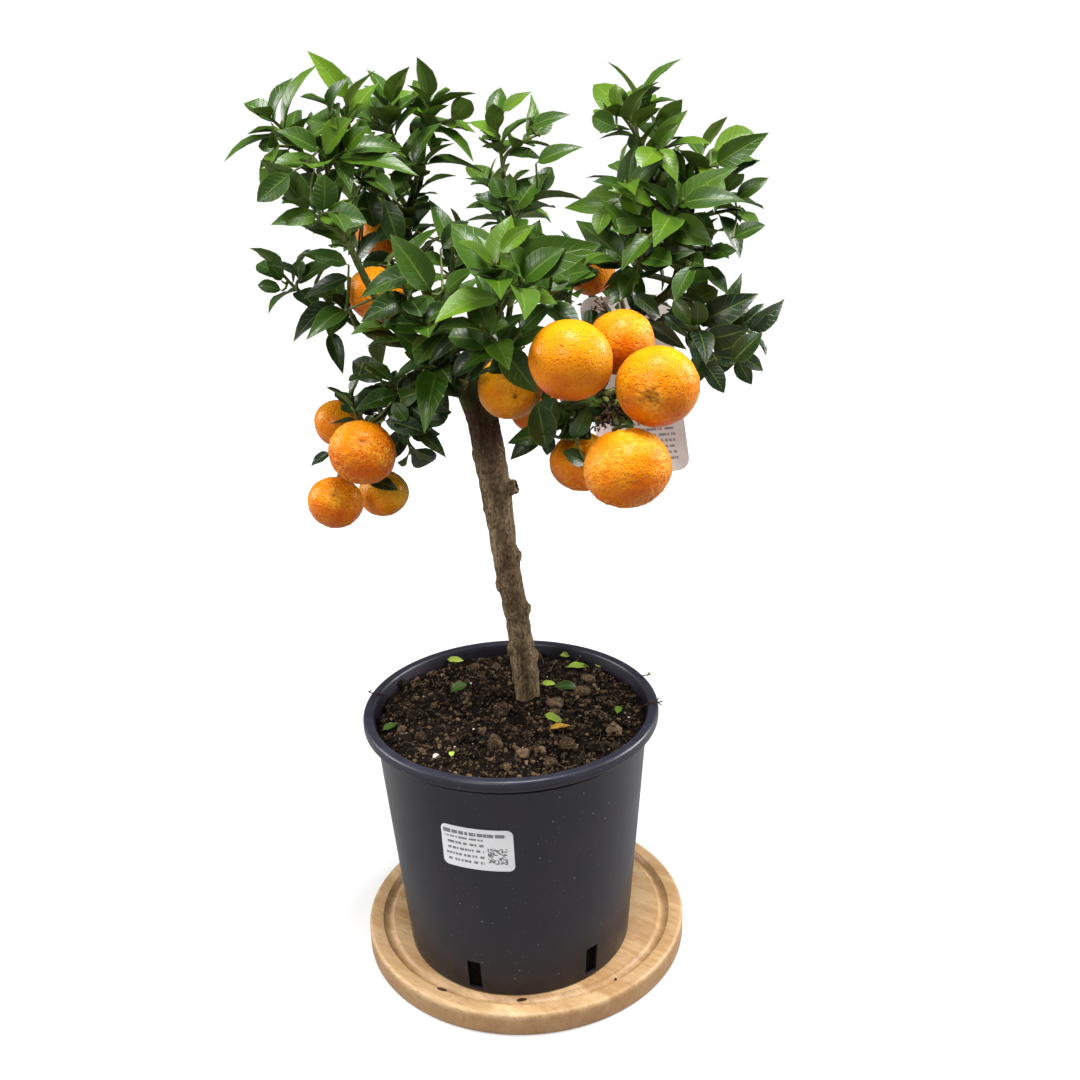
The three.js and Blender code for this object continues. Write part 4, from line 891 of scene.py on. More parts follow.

# Fruit stalks and branchlets: green young wood that grows out of the limbs. Each stalk ends in a
# thick calyx with five lobes, seated on its fruit.
# Rows of sprays: name, limb and place along it, foot (none where the limb's end is the foot), tips of
# the twigs, leaves on each twig, length of a full-grown leaf, and how light its green is. The lightness is
# partly the leaves' own age and tone and partly painted light: sprays high in the crown are painted
# lighter, and low sprays under the fruits and the limbs are painted darker, as painted shade.
SPRAYS = [
    ("left_outer", "left", 1, None, [(-120, -18, 580), (-116, -24, 564)], (6, 3), 34, 0.6),
    ("left_peak", "backLeft", 1, None, [(-78, -2, 587), (-86, -22, 578)], (5, 3), 33, 0.62),
    ("left_back", "back", 0.84, (-54, 32, 560), [(-56, 30, 584), (-66, 26, 574)], (5, 3), 32, 0.6),
    ("crown_left", "back", 1, None, [(-33, 40, 586), (-20, 42, 572)], (5, 4), 32, 0.6),
    ("left_front", "left", 0.86, (-90, -24, 546), [(-91, -40, 562), (-77, -36, 561)], (4, 3), 34, 0.6),
    ("left_mid", "backLeft", 0.62, (-72, 8, 542), [(-66, 0, 560), (-79, -8, 554)], (4, 3), 30, 0.45),
    ("inner_left", "back", 0.72, (-44, 28, 538), [(-48, 13, 556), (-32, 26, 556)], (5, 3), 30, 0.5),
    ("side_left", "left", 0.7, (-90, -44, 524), [(-103, -42, 534), (-82, -58, 531)], (4, 3), 34, 0.5),
    ("low_left", "leftLow", 1, None, [(-126, 0, 494), (-111, -16, 491)], (4, 3), 30, 0.3),
    ("low_mid", "leftLow", 0.55, (-84, -8, 466), [(-96, -20, 479), (-84, -34, 474)], (4, 3), 34, 0.25),
    ("droop_front", "droop", 0.72, (-60, -18, 418), [(-72, -32, 434), (-56, -36, 420)], (4, 4), 34, 0.2),
    ("droop_end", "droop", 1, None, [(-88, -18, 421)], (5,), 26, 0.15),
    ("droop_low", "droop", 0.62, (-56, -18, 404), [(-42, -34, 402), (-54, -24, 386)], (3, 3), 34, 0.05),
    ("front_left", "left", 0.4, (-52, -38, 474), [(-56, -50, 500), (-46, -60, 484)], (4, 3), 36, 0.4),
    ("mid_front", "front", 0.5, (-22, -44, 458), [(-39, -64, 472), (-27, -64, 488)], (5, 3), 36, 0.4),
    ("mid_low", "front", 0.3, (-22, -22, 437), [(-36, -48, 446), (-18, -52, 436)], (5, 3), 36, 0.25),
    ("rosette", "front", 1, None, [(2, -98, 506), (16, -102, 497)], (6, 4), 42, 0.62),
    ("rosette_low", "front", 0.8, (2, -72, 462), [(-6, -98, 474), (14, -88, 468)], (5, 3), 38, 0.5),
    ("centre_left", "back", 0.4, (-32, 34, 480), [(-24, 16, 502), (-20, 42, 506)], (4, 3), 36, 0.3),
    ("centre_top", "middle", 1, None, [(5, 50, 570), (31, 48, 562)], (6, 4), 30, 0.62),
    ("centre_mid", "middle", 0.72, (14, 44, 508), [(8, 32, 526), (30, 44, 528)], (5, 4), 32, 0.4),
    ("centre_low", "middle", 0.42, (14, 34, 474), [(22, 18, 494), (30, 40, 492)], (4, 3), 32, 0.3),
    ("mid_right", "front", 0.66, (20, -46, 470), [(32, -70, 500), (46, -44, 494)], (5, 4), 34, 0.5),
    ("gap_leaves", "right", 0.3, (48, 14, 458), [(60, 10, 494), (40, -6, 482)], (4, 3), 30, 0.35),
    ("right_top", "right", 1, None, [(74, -5, 577), (90, 2, 586)], (6, 4), 34, 0.62),
    ("right_peak", "right", 0.88, (96, 0, 545), [(102, 6, 568), (96, -22, 556)], (4, 3), 34, 0.65),
    ("right_left", "right", 0.79, (90, -2, 526), [(77, -24, 538), (68, -10, 524)], (4, 3), 34, 0.55),
    ("right_stub", "rightFar", 1, None, [(127, 8, 554), (130, -16, 545)], (4, 3), 42, 0.65),
    ("right_far", "rightFar", 0.6, (127, 2, 516), [(140, 10, 536), (145, -6, 520)], (4, 3), 36, 0.5),
    ("right_front", "right", 0.66, (106, -8, 508), [(108, -35, 528), (90, -36, 510)], (4, 3), 36, 0.5),
    ("right_inner", "right", 0.58, (92, -10, 484), [(86, -38, 500), (74, -22, 494)], (4, 3), 36, 0.4),
    ("right_heart", "right", 0.63, (118, -4, 488), [(124, -20, 505), (112, -34, 494)], (4, 3), 32, 0.4),
    ("right_low", "rightLow", 0.5, (120, -10, 458), [(118, -30, 456), (130, -24, 436)], (4, 4), 32, 0.15),
    ("right_end", "rightLow", 1, None, [(156, -6, 446), (144, -16, 432)], (5, 4), 30, 0.2),
    ("under_fruit", "fruiting", 0.46, (29, -38, 404), [(22, -56, 404), (44, -64, 401)], (3, 3), 36, 0.2),
    ("rear_left", "rearLeft", 1, None, [(-88, 96, 520), (-60, 96, 526), (-92, 72, 506)], (4, 3, 3), 36, 0.5),
    ("rear", "rear", 1, None, [(0, 102, 528), (32, 100, 520), (10, 112, 504)], (4, 3, 3), 36, 0.5),
    ("rear_right", "rearRight", 1, None, [(84, 84, 536), (104, 76, 528), (98, 92, 518)], (4, 3, 3), 36, 0.5),
]
GAP, TWIG_FORK = 0.3, 2.0
TWIG_ROOT, TWIG_TIP = 1.6, 1.1
green_lines, rods = [], []


def rod(owner, points, radii):
    """Wood that the leaves of other sprays keep off, as straight lengths."""
    spots = np.array(points, float)
    for i in range(1, len(spots)):
        rods.append((owner, spots[i - 1], spots[i], max(radii[i - 1], radii[i])))


rod("tree", [row[:3] for row in TRUNK], [row[3] for row in TRUNK])
for points, thick, thin in LIMBS.values():
    rod("tree", points, [blend(thick, thin, i / (len(points) - 1)) for i in range(len(points))])
for start, middle, seat, rest, up in stalks:
    line = bowed_line(start, middle, seat)
    rod("tree", [line(0), line(0.5), line(1), rest + up * 1.2, rest], [1.3, 1.3, 1.3, 3.36, 4.2])
    radii = [1.45 + 0.9 * math.exp(-i / 1.5) + 0.5 * math.exp(-(12 - i) / 1.6) for i in range(13)]
    green_lines.append(([line(i / 12) for i in range(13)], radii))
sprays = []
for name, limb, place, foot, tips, leaves, leaf_length, light in SPRAYS:
    start = limb_lines[limb](place)
    if foot:
        foot = np.array(foot, float)
        way = unit(foot - start)
        rod("tree", [start, foot], [2.0, 1.7])
        kink = np.array([noise.noise(Vector(foot) * 0.3), noise.noise(Vector(foot) * 0.31), 0.4]) * 3
        line = bowed_line(start, (start + foot) / 2 + kink, foot)
        radii = [2.0 + 0.9 * math.exp(-i) - 0.03 * i for i in range(9)]
        green_lines.append(([line(i / 8) for i in range(9)], radii))
    else:
        foot, way = start, heading(limb_lines[limb], 1)
    root = foot + way * GAP
    twigs = []
    for k, tip in enumerate(tips):
        origin = root if k == 0 else root + way * TWIG_FORK
        tip = np.array(tip, float)
        line = bowed_line(origin, origin + way * np.linalg.norm(tip - origin) * 0.4, tip)
        rod(name, [line(0), line(0.5), line(1)], [TWIG_ROOT] * 3)
        twigs.append((line, tip - origin))
    sprays.append((name, twigs, leaves, leaf_length, light))
green_wood = bmesh.new()
green_wood.from_mesh(stems_of(green_lines, 3))
for start, middle, seat, rest, up in stalks:
    calyx = bmesh.new()
    bmesh.ops.create_uvsphere(calyx, u_segments=40, v_segments=10, radius=1)
    for vert in calyx.verts:
        turn = math.atan2(vert.co.y, vert.co.x)
        out = math.hypot(vert.co.x, vert.co.y) * (4.3 + 0.9 * math.cos(5 * turn))
        rise = 0.95 * vert.co.z - 0.02 * out * out + 0.9
        vert.co = Vector((out * math.cos(turn), out * math.sin(turn), rise))
    upright = Vector((0, 0, 1)).rotation_difference(Vector(up)).to_matrix()
    bmesh.ops.rotate(calyx, verts=calyx.verts, cent=(0, 0, 0), matrix=upright)
    bmesh.ops.scale(calyx, verts=calyx.verts, vec=(MM, MM, MM))
    moved(calyx, rest, POT_AXIS)
    added(green_wood, calyx)
young_bark, tree, shader = finish_of("green_bark", 0.5, 0.4)
painted(tree, shader, (54, 70, 20), ((90, 100, 36), mottled(tree, 90, 0.35, 0.65)),
        ((176, 172, 120), specked(tree, 600, 0.25, 0.2), 0.5))
relief(tree, shader, mottled(tree, 500, 0.3, 0.7, 0.2), 0.0002, 0.6)
piece_of(settled(green_wood, Vector()), "stalks_and_branchlets", [young_bark], ["tree"], 60)

# Leaves: small, leathery, pointed and folded along a pale midrib, glossy dark to yellow-green above and
# pale and matt below. They stand round green twigs in a spiral, and each turns its face to the light.
# A blade's width, the place of its rib and the places and widths of its rows are shares of its length
# or of its full width. Its fold and arch are turns. The margin and the layer are millimetres.
BLADE_WIDTH, BLADE_FOLD, BLADE_ARCH, BLADE_RIB = 0.56, 0.3, 0.55, 0.46
NEAR_ROW, FAR_ROW, FAR_WIDTH = 0.28, 0.64, 0.86
MARGIN, LAYER, LIFT, LIGHT_PULL, MOST_ROLL = 1.2, 1.1, 0.22, 0.6, 1.1
LIGHT = np.array([0, -0.45, 0.89])
GOLDEN_TURN = math.radians(137.5)
# A leaf that finds no room is tried again: further turn, further lean and share of its length.
TRIES = [(0, 0, 1), (0.45, 0.1, 1), (-0.45, -0.1, 0.95), (0.9, 0.25, 0.9), (-0.9, -0.25, 0.9), (1.5, 0, 0.8),
         (-1.5, 0.2, 0.75)]
UP = np.array([0.0, 0.0, 1.0])
rod_from, rod_to = np.array([row[1] for row in rods]), np.array([row[2] for row in rods])
rod_radius, rod_owner = np.array([row[3] for row in rods]), np.array([row[0] for row in rods])
# Leaves keep out of the fruits, and most of them also out of the air in front of the fruits.
free_spots, free_radii, free_places = [], [], []
for middle, radius, free in fruit_middles:
    free_spots.append(middle)
    free_radii.append(radius)
    free_places += range(free + 1)
    for k in range(1, free + 1):
        free_spots.append(middle + np.array([0, -0.8, 0.6]) * k * radius)
        free_radii.append(radius * 0.9)
free_spots, free_radii, free_places = np.array(free_spots), np.array(free_radii), np.array(free_places)


def draws(seed):
    """An endless run of numbers from 0 to 1, always the same."""
    while True:
        seed = seed * 16807 % 2147483647
        yield seed / 2147483647


def blade_of(foot, way, face, length):
    """Seven points of a blade: foot, left pair, tip, right pair, and one on the midrib."""
    across = np.cross(way, face)
    half = length * BLADE_WIDTH * math.cos(BLADE_FOLD) / 2
    lift = length * BLADE_WIDTH * math.sin(BLADE_FOLD) / 2
    rows = [(0, 0, 0), (NEAR_ROW, -half, lift), (FAR_ROW, -half * FAR_WIDTH, lift * FAR_WIDTH), (1, 0, 0),
            (FAR_ROW, half * FAR_WIDTH, lift * FAR_WIDTH), (NEAR_ROW, half, lift), (BLADE_RIB, 0, 0)]
    points = []
    for share, side, rise in rows:
        turn = BLADE_ARCH * share
        along, down = length * math.sin(turn) / BLADE_ARCH, length * (1 - math.cos(turn)) / BLADE_ARCH
        out, up = along + rise * math.sin(turn), rise * math.cos(turn) - down
        points.append(foot + way * out + face * up + across * side)
    return np.array(points)


def lines_and_facets(points, normal):
    """A blade as lines and as triangles, with which crossings are found."""
    layers = [(p - normal * LAYER, p + normal * LAYER) for p in points[1:]]
    around = list(zip([0, 5, 4, 3, 2, 1], [5, 4, 3, 2, 1, 0]))
    facets = [(points[6], points[a], points[b]) for a, b in around]
    edges = [(points[a], points[end]) for a, b in around for end in (b, 6)]
    return np.array(layers + edges), np.array(facets)


def pierced(lines, facets):
    """True where any of the lines goes through any of the facets."""
    start, way = lines[:, None, 0], (lines[:, 1] - lines[:, 0])[:, None]
    corner = facets[None, :, 0]
    first, second = (facets[:, 1] - facets[:, 0])[None], (facets[:, 2] - facets[:, 0])[None]
    across = np.cross(way, second)
    size = (first * across).sum(-1)
    size = np.where(np.abs(size) < 1e-9, np.nan, size)
    off = start - corner
    u = (off * across).sum(-1) / size
    swept = np.cross(off, first)
    w, t = (way * swept).sum(-1) / size, (second * swept).sum(-1) / size
    return bool(((u >= 0) & (u <= 1) & (w >= 0) & (u + w <= 1) & (t >= 0) & (t <= 1)).any())


def off_rods(spots):
    """How far each spot lies from each straight length of wood."""
    way = rod_to - rod_from
    share = ((spots[:, None] - rod_from) * way).sum(-1) / (way * way).sum(-1)
    near = rod_from + np.clip(share, 0, 1)[..., None] * way
    return np.linalg.norm(spots[:, None] - near, axis=-1)


grown = {"owner": [], "centre": [], "reach": [], "lines": [], "facets": []}


def clear_blade(owner, points, lines, facets, reach, near_fruit=False):
    """True where a blade keeps off the fruits, the wood of others and all the blades before it."""
    spots = np.vstack([points, lines[6:].mean(axis=1)])
    kept_free = (free_places == 0) | (not near_fruit)
    gaps = np.linalg.norm(spots[:, None] - free_spots[kept_free], axis=-1)
    if (gaps < free_radii[kept_free] + MARGIN).any():
        return False
    others = rod_owner != owner
    if (off_rods(spots)[:, others] < rod_radius[others] + MARGIN).any():
        return False
    if pierced(np.stack([rod_from[others], rod_to[others]], axis=1), facets):
        return False
    if grown["centre"]:
        away = np.linalg.norm(np.array(grown["centre"]) - points[6], axis=1)
        near = np.flatnonzero(away <= np.array(grown["reach"]) + reach)
        if len(near):
            if pierced(lines, np.concatenate([grown["facets"][i] for i in near])):
                return False
            return not pierced(np.concatenate([grown["lines"][i] for i in near]), facets)
    return True


def grow_leaf(owner, line, chord, share, azimuth, lean, roll, length, radius):
    """The foot, way, face and length of a leaf that is clear of all before it, or none."""
    tangent = heading(line, share)
    side = np.cross(UP, unit(chord))
    if np.linalg.norm(side) < 0.3:
        side = np.array([1.0, 0.0, 0.0])
    side = unit(side - tangent * side.dot(tangent))
    front = np.cross(tangent, side)
    for turn, extra, scale in TRIES:
        out = side * math.cos(azimuth + turn) + front * math.sin(azimuth + turn)
        way = unit(tangent * math.cos(lean + extra) + out * math.sin(lean + extra) + UP * LIFT)
        face = tangent * math.sin(lean + extra) - out * math.cos(lean + extra)
        face = unit(face - way * face.dot(way))
        across = np.cross(way, face)
        light = LIGHT - way * LIGHT.dot(way)
        pull = math.atan2(light.dot(across), light.dot(face)) * LIGHT_PULL * np.linalg.norm(light)
        tilt = max(-MOST_ROLL, min(MOST_ROLL, pull + roll))
        face = face * math.cos(tilt) + across * math.sin(tilt)
        foot = line(share) + out * radius / 2
        points = blade_of(foot, way, face, length * scale)
        bend = BLADE_ARCH * BLADE_RIB
        lines, facets = lines_and_facets(points, way * math.sin(bend) + face * math.cos(bend))
        reach = np.linalg.norm(points - points[6], axis=1).max()
        if clear_blade(owner, points, lines, facets, reach):
            for key, value in zip(grown, (owner, points[6], reach, lines, facets)):
                grown[key].append(value)
            return foot, way, face, length * scale
    return None


chance = draws(4711)
leaves_of = {}
for name, twigs, counts, leaf_length, light in sprays:
    leaves_of[name] = []
    for (line, chord), count in zip(twigs, counts):
        start = next(chance) * 2 * math.pi
        for i in range(count):
            rank = i / (count - 1)
            share = blend(0.34, 0.94, rank)
            azimuth = start + i * GOLDEN_TURN + (next(chance) - 0.5) * 0.4
            lean = blend(1.2, 0.5, rank) + (next(chance) - 0.5) * 0.3
            roll = (next(chance) - 0.5) * 0.6
            length = leaf_length * (0.76 + 0.26 * next(chance)) * (1 - 0.22 * rank * rank)
            radius = blend(TWIG_ROOT, TWIG_TIP, share)
            leaf = grow_leaf(name, line, chord, share, azimuth, lean, roll, length, radius)
            if leaf:
                leaves_of[name].append((*leaf, light, 1))
# Leaves that stay smaller, so that light shows between the branches and none reaches far out of the
# crown: spray, number, share.
SMALLER = [("under_fruit", 1, 0.6), ("under_fruit", 3, 0.6), ("droop_low", 1, 0.6), ("droop_low", 3, 0.6),
           ("droop_low", 4, 0.75), ("right_stub", 2, 0.6), ("right_stub", 3, 0.7), ("right_peak", 3, 0.7),
           ("right_peak", 5, 0.75), ("right_left", 2, 0.75), ("right_left", 5, 0.7),
           ("rear_right", 2, 0.65), ("rear_right", 7, 0.65), ("rear", 5, 0.65), ("rear", 6, 0.7),
           ("rear", 1, 0.8), ("side_left", 1, 0.75), ("low_left", 0, 0.8), ("right_top", 1, 0.8),
           ("right_top", 5, 0.65), ("mid_low", 0, 0.75), ("mid_low", 5, 0.5), ("rosette", 3, 0.75)]
for name, number, share in SMALLER:
    foot, way, face, length, light, slim = leaves_of[name][number]
    leaves_of[name][number] = (foot, way, face, length * share, light, slim)
# Leaves that stand out, set one by one: spray, foot, tip and how light the green is. Those low
# in the crown and under the fruits are painted dark green: painted shade.
NOTED = [
    ("droop_low", (-46, -28, 416), (-25, -34, 415), 0.05),
    ("droop_end", (-67, -40, 411), (-42, -44, 404), 0.05),
    ("droop_end", (-61, -36, 422), (-51, -42, 408), 0.1),
    ("droop_end", (-76, -24, 444), (-58, -34, 432), 0.12),
    ("droop_end", (-103, -20, 386), (-114, -26, 380), 0.2),
    ("droop_end", (-82, -26, 371), (-63, -32, 364), 0.1),
    ("under_fruit", (22, -62, 428), (27, -62, 395), 0.15),
    ("under_fruit", (50, -58, 385), (33, -62, 396), 0.2),
    ("mid_low", (17, -52, 449), (-7, -58, 438), 0.25),
    ("mid_low", (-5, -50, 454), (-25, -56, 439), 0.25),
    ("mid_low", (-18, -52, 464), (-33, -58, 453), 0.3),
    ("right_low", (122, -28, 436), (135, -34, 415), 0.2),
    ("right_end", (139, -16, 434), (159, -20, 454), 0.35),
    ("right_end", (142, -20, 438), (159, -26, 428), 0.2),
    ("low_mid", (-46, -46, 495), (-67, -50, 489), 0.3),
    ("low_mid", (-96, -20, 460), (-91, -28, 441), 0.15),
    ("left_mid", (-72, 4, 538), (-66, -4, 508), 0.35),
    ("left_mid", (-62, 6, 532), (-54, 2, 504), 0.3),
    ("left_mid", (-80, 6, 530), (-84, 2, 503), 0.3),
    ("centre_left", (-56, 26, 516), (-71, 20, 503), 0.3),
    ("rosette", (5, -90, 511), (22, -96, 525), 0.68),
    ("rosette", (8, -92, 504), (48, -100, 513), 0.68),
    ("mid_front", (-33, -66, 487), (-51, -70, 518), 0.35),
    ("mid_front", (-28, -40, 507), (-8, -46, 524), 0.2),
    ("right_left", (93, -30, 526), (75, -36, 534), 0.55),
    ("right_inner", (84, -34, 515), (62, -40, 514), 0.45),
    ("right_heart", (113, -36, 495), (101, -44, 475), 0.3),
    ("right_far", (143, -6, 525), (161, -10, 537), 0.6),
    ("right_far", (139, -8, 505), (159, -14, 513), 0.5),
    ("low_left", (-124, -6, 482), (-142, -10, 487), 0.25),
    ("low_left", (-124, -4, 487), (-131, -8, 501), 0.3),
    ("left_peak", (-77, -4, 587), (-91, -10, 607), 0.7),
    ("left_front", (-104, -40, 552), (-127, -44, 535), 0.3),
    ("low_mid", (-80, -38, 500), (-101, -42, 507), 0.4),
    ("low_mid", (-80, -36, 493), (-99, -38, 486), 0.25),
    ("centre_top", (10, 42, 576), (24, 40, 585), 0.6),
    ("centre_top", (27, 42, 567), (46, 38, 573), 0.6),
    ("centre_mid", (29, 36, 546), (51, 31, 555), 0.55),
    ("right_top", (73, -8, 567), (52, -12, 577), 0.5),
    ("right_stub", (128, -6, 553), (162, -10, 561), 0.75),
    ("right_low", (98, -28, 464), (110, -34, 453), 0.1),
    ("right_low", (90, -24, 459), (107, -30, 447), 0.05),
    ("right_inner", (79, -34, 478), (95, -38, 466), 0.2),
    ("right_heart", (104, -30, 474), (114, -36, 459), 0.15),
    ("right_low", (113, -28, 455), (119, -32, 433), 0.15),
    ("front_left", (-40, -62, 498), (-65, -66, 491), 0.2),
    ("mid_low", (17, -56, 454), (-8, -64, 442), 0.3),
    ("under_fruit", (50, -42, 427), (68, -44, 413), 0.05),
    ("under_fruit", (40, -48, 410), (56, -56, 396), 0.1),
    ("under_fruit", (74, -28, 419), (54, -34, 404), 0.05),
    ("under_fruit", (70, -24, 408), (51, -30, 397), 0.05),
    ("under_fruit", (57, -34, 421), (71, -38, 403), 0.05),
    ("left_mid", (-82, 20, 495), (-66, 12, 511), 0.5),
    ("left_mid", (-80, 20, 493), (-52, 8, 491), 0.15),
]
TOWARDS = np.array([0, -0.78, 0.62])
stalklets = {name: [] for name, *_ in sprays}
twigs_of = {name: twigs for name, twigs, *_ in sprays}
for name, planned_foot, tip, light in NOTED:
    chord = np.subtract(tip, planned_foot).astype(float)
    length = np.linalg.norm(chord)
    chord /= length
    face = unit(TOWARDS - chord * TOWARDS.dot(chord))
    across = np.cross(chord, face)
    for forward, tilt in [(step, turn) for step in (0, 4, 8, 13, -6, -12) for turn in (0, 0.45, -0.45)]:
        foot = np.array(planned_foot) - np.array([0, forward, 0])
        turned_face = face * math.cos(tilt) + across * math.sin(tilt)
        way = chord * math.cos(BLADE_ARCH / 2) + turned_face * math.sin(BLADE_ARCH / 2)
        front = turned_face * math.cos(BLADE_ARCH / 2) - chord * math.sin(BLADE_ARCH / 2)
        points = blade_of(foot, way, front, length)
        lines, facets = lines_and_facets(points, front)
        reach = np.linalg.norm(points - points[6], axis=1).max()
        if not clear_blade(name, points, lines, facets, reach, 1):
            continue
        for key, value in zip(grown, (name, points[6], reach, lines, facets)):
            grown[key].append(value)
        leaves_of[name].append((foot, way, front, length, light, 0.84))
        twig_spots = [line(i / 6) for line, _ in twigs_of[name] for i in range(7)]
        nearest = min(twig_spots, key=lambda spot: np.linalg.norm(spot - foot))
        sag = (nearest + foot) / 2 - UP * 1.5
        stalklets[name].append(([nearest, sag, foot], [0.8, 0.7, 0.6]))
        break
# Smaller leaves fill the spirals further, and more grow on the branchlets and the thinner limbs.
more = random.Random(5)
# Seen from the front the crown stays open at these places: x, height and radius.
OPEN_AIR = [(62, 542, 14), (72, 556, 9), (31, 530, 12), (-97, 458, 19), (-130, 495, 17), (75, 600, 13),
            (127, 564, 15), (-27, 393, 15), (16, 396, 12)]


def in_open_air(leaf):
    foot, way, _, length = leaf
    spots = foot + way * length, foot + way * length / 2
    return any(math.hypot(spot[0] - x, spot[2] - z) < radius for x, z, radius in OPEN_AIR for spot in spots)


for name, twigs, counts, leaf_length, light in sprays:
    for line, chord in twigs:
        for i in range(5):
            share, azimuth, lean = more.uniform(0.1, 1), more.uniform(0, 6.3), more.uniform(0.35, 1.2)
            roll, length = more.uniform(-0.4, 0.4), leaf_length * more.uniform(0.5, 0.8)
            radius = blend(TWIG_ROOT, TWIG_TIP, share)
            leaf = grow_leaf(name, line, chord, share, azimuth, lean, roll, length, radius)
            if leaf and not in_open_air(leaf):
                leaves_of[name].append((*leaf, light, 1))
leaves_of["limb"] = []
for name, (points, thick, thin) in LIMBS.items():
    line = limb_lines[name]
    for i in range(6 * (len(points) - 1)):
        share = more.uniform(0.3, 1)
        radius = blend(thick, 0.75 * thin, share**0.45)
        if radius > 4:
            continue
        azimuth, lean = more.uniform(0, 6.3), more.uniform(0.6, 1.3)
        roll, length = more.uniform(-0.4, 0.4), more.uniform(16, 26)
        leaf = grow_leaf("tree", line, heading(line, share), share, azimuth, lean, roll, length, radius * 2)
        if leaf and not in_open_air(leaf):
            # A limb leaf is painted lighter the higher it grows: painted light at the top of the crown and
            # painted shade low in it.
            leaves_of["limb"].append((*leaf, 0.25 + 0.4 * (line(share)[2] - 400) / 180, 0.9))

ROWS = [0, 0.07, 0.14, 0.25, 0.38, 0.53, 0.68, 0.84, 1]
HALF_WIDTHS = [0.07, 0.06, 0.46, 0.85, 1.02, 1.02, 0.86, 0.48, 0.012]
plan = bmesh.new()
prints = plan.loops.layers.uv.new("blade")
for layer in (1, -1):
    sheet = bmesh.ops.create_grid(plan, x_segments=4, y_segments=8, size=1)["verts"]
    for vert in sheet:
        inside = abs(vert.co.x) < 0.9 and abs(vert.co.y) < 0.9
        vert.co.z = layer if inside else 0
    if layer < 0:
        lower = list({face for vert in sheet for face in vert.link_faces})
        bmesh.ops.reverse_faces(plan, faces=lower)
        for face in lower:
            face.material_index = 1
for face in plan.faces:
    for loop in face.loops:
        loop[prints].uv = (loop.vert.co.x / 2 + 0.5, ROWS[round(loop.vert.co.y * 4 + 4)])
bmesh.ops.remove_doubles(plan, verts=plan.verts, dist=1e-4)
blade = bpy.data.meshes.new("blade")
plan.to_mesh(blade)
plan.free()
form = np.empty(len(blade.vertices) * 3)
blade.vertices.foreach_get("co", form)
across_form, row_form, layer_form = form.reshape(-1, 3).T
share_form = np.array(ROWS)[np.rint(row_form * 4 + 4).astype(int)]
half_form = np.interp(share_form, ROWS, HALF_WIDTHS)
tone_layer = blade.attributes.new("tone", "FLOAT", "POINT")
wither_layer = blade.attributes.new("wither", "FLOAT", "POINT")


def add_leaf(bm, foot, way, face, length, tone, wither=0.0, slim=1):
    """Adds one blade with its own small twist, curl and waves."""
    half = length * BLADE_WIDTH * slim / 2 * half_form * more.uniform(0.92, 1.1)
    fold = BLADE_FOLD * more.uniform(0.75, 1.3)
    arch = BLADE_ARCH * more.uniform(0.8, 1.2)
    side = across_form * half * math.cos(fold)
    phase = more.uniform(0, 6.3)
    wave = 0.35 * np.sin(share_form * 15 + phase + across_form) * np.abs(across_form) * half_form
    rise = np.abs(across_form) ** 1.2 * half * math.sin(fold) + wave
    stalky = np.clip(1 - share_form / 0.14, 0, 1)
    rise = rise + layer_form * (0.16 + 0.5 * stalky + 0.22 * (np.abs(across_form) < 0.1) * (layer_form < 0))
    twist = more.uniform(-0.35, 0.35) * share_form**2
    side, rise = side * np.cos(twist) - rise * np.sin(twist), side * np.sin(twist) + rise * np.cos(twist)
    turn = arch * share_form + more.uniform(-0.15, 0.25) * share_form**3
    along, down = length * np.sin(turn) / arch, length * (1 - np.cos(turn)) / arch
    across = np.cross(way, face)
    shape = foot + np.outer(along + rise * np.sin(turn), way) + np.outer(side, across)
    shape += np.outer(rise * np.cos(turn) - down, face)
    blade.vertices.foreach_set("co", (shape * MM + np.array(POT_AXIS)).ravel())
    tone_layer.data.foreach_set("value", np.full(len(shape), tone, np.float32))
    wither_layer.data.foreach_set("value", np.full(len(shape), wither, np.float32))
    bm.from_mesh(blade)


leaf_parts = []
for name, roughness, specular, coat in (("leaf_upper", 0.36, 0.3, 0.05), ("leaf_under", 0.6, 0.2, 0.0)):
    leaf, tree, shader = finish_of(name, roughness, specular, coat)
    u, v = face_place(tree, "blade")
    out = off_by(tree, u, 0.5)
    midrib = level(tree, out, 0.05, 0.015)
    slant = sums(tree, "SUBTRACT", v, times(tree, out, 0.35))
    veins = level(tree, off_by(tree, sums(tree, "FRACT", times(tree, slant, 9.0)), 0.5), 0.1, 0.0)
    pale = sums(tree, "MAXIMUM", midrib, level(tree, out, 0.455, 0.495))
    # A leaf's tone is partly its own age and tone and partly painted light and shade by its place in the
    # crown.
    tone = layer_of(tree, "tone")
    dry = coated(tree, (196, 152, 52), ((150, 92, 40), mottled(tree, 130, 0.4, 0.6)))
    over_all = ((86, 108, 30), mottled(tree, 160, 0.35, 0.7), 0.14), (dry, layer_of(tree, "wither"))
    if name == "leaf_upper":
        painted(tree, shader, (20, 38, 18), ((48, 78, 14), level(tree, tone, 0, 0.5)),
                ((98, 132, 24), level(tree, tone, 0.5, 1)), ((190, 210, 88), level(tree, tone, 1, 1.5)),
                ((122, 144, 60), pale, 0.4), ((100, 128, 50), veins, 0.1), *over_all)
    else:
        painted(tree, shader, (62, 84, 44), ((108, 132, 50), tone), ((140, 158, 84), pale, 0.5), *over_all)
    raised = sums(tree, "MAXIMUM", midrib, times(tree, veins, 0.6))
    relief(tree, shader, sums(tree, "SUBTRACT", 1.0, raised), 0.0003, 0.6)
    leaf_parts.append(leaf)
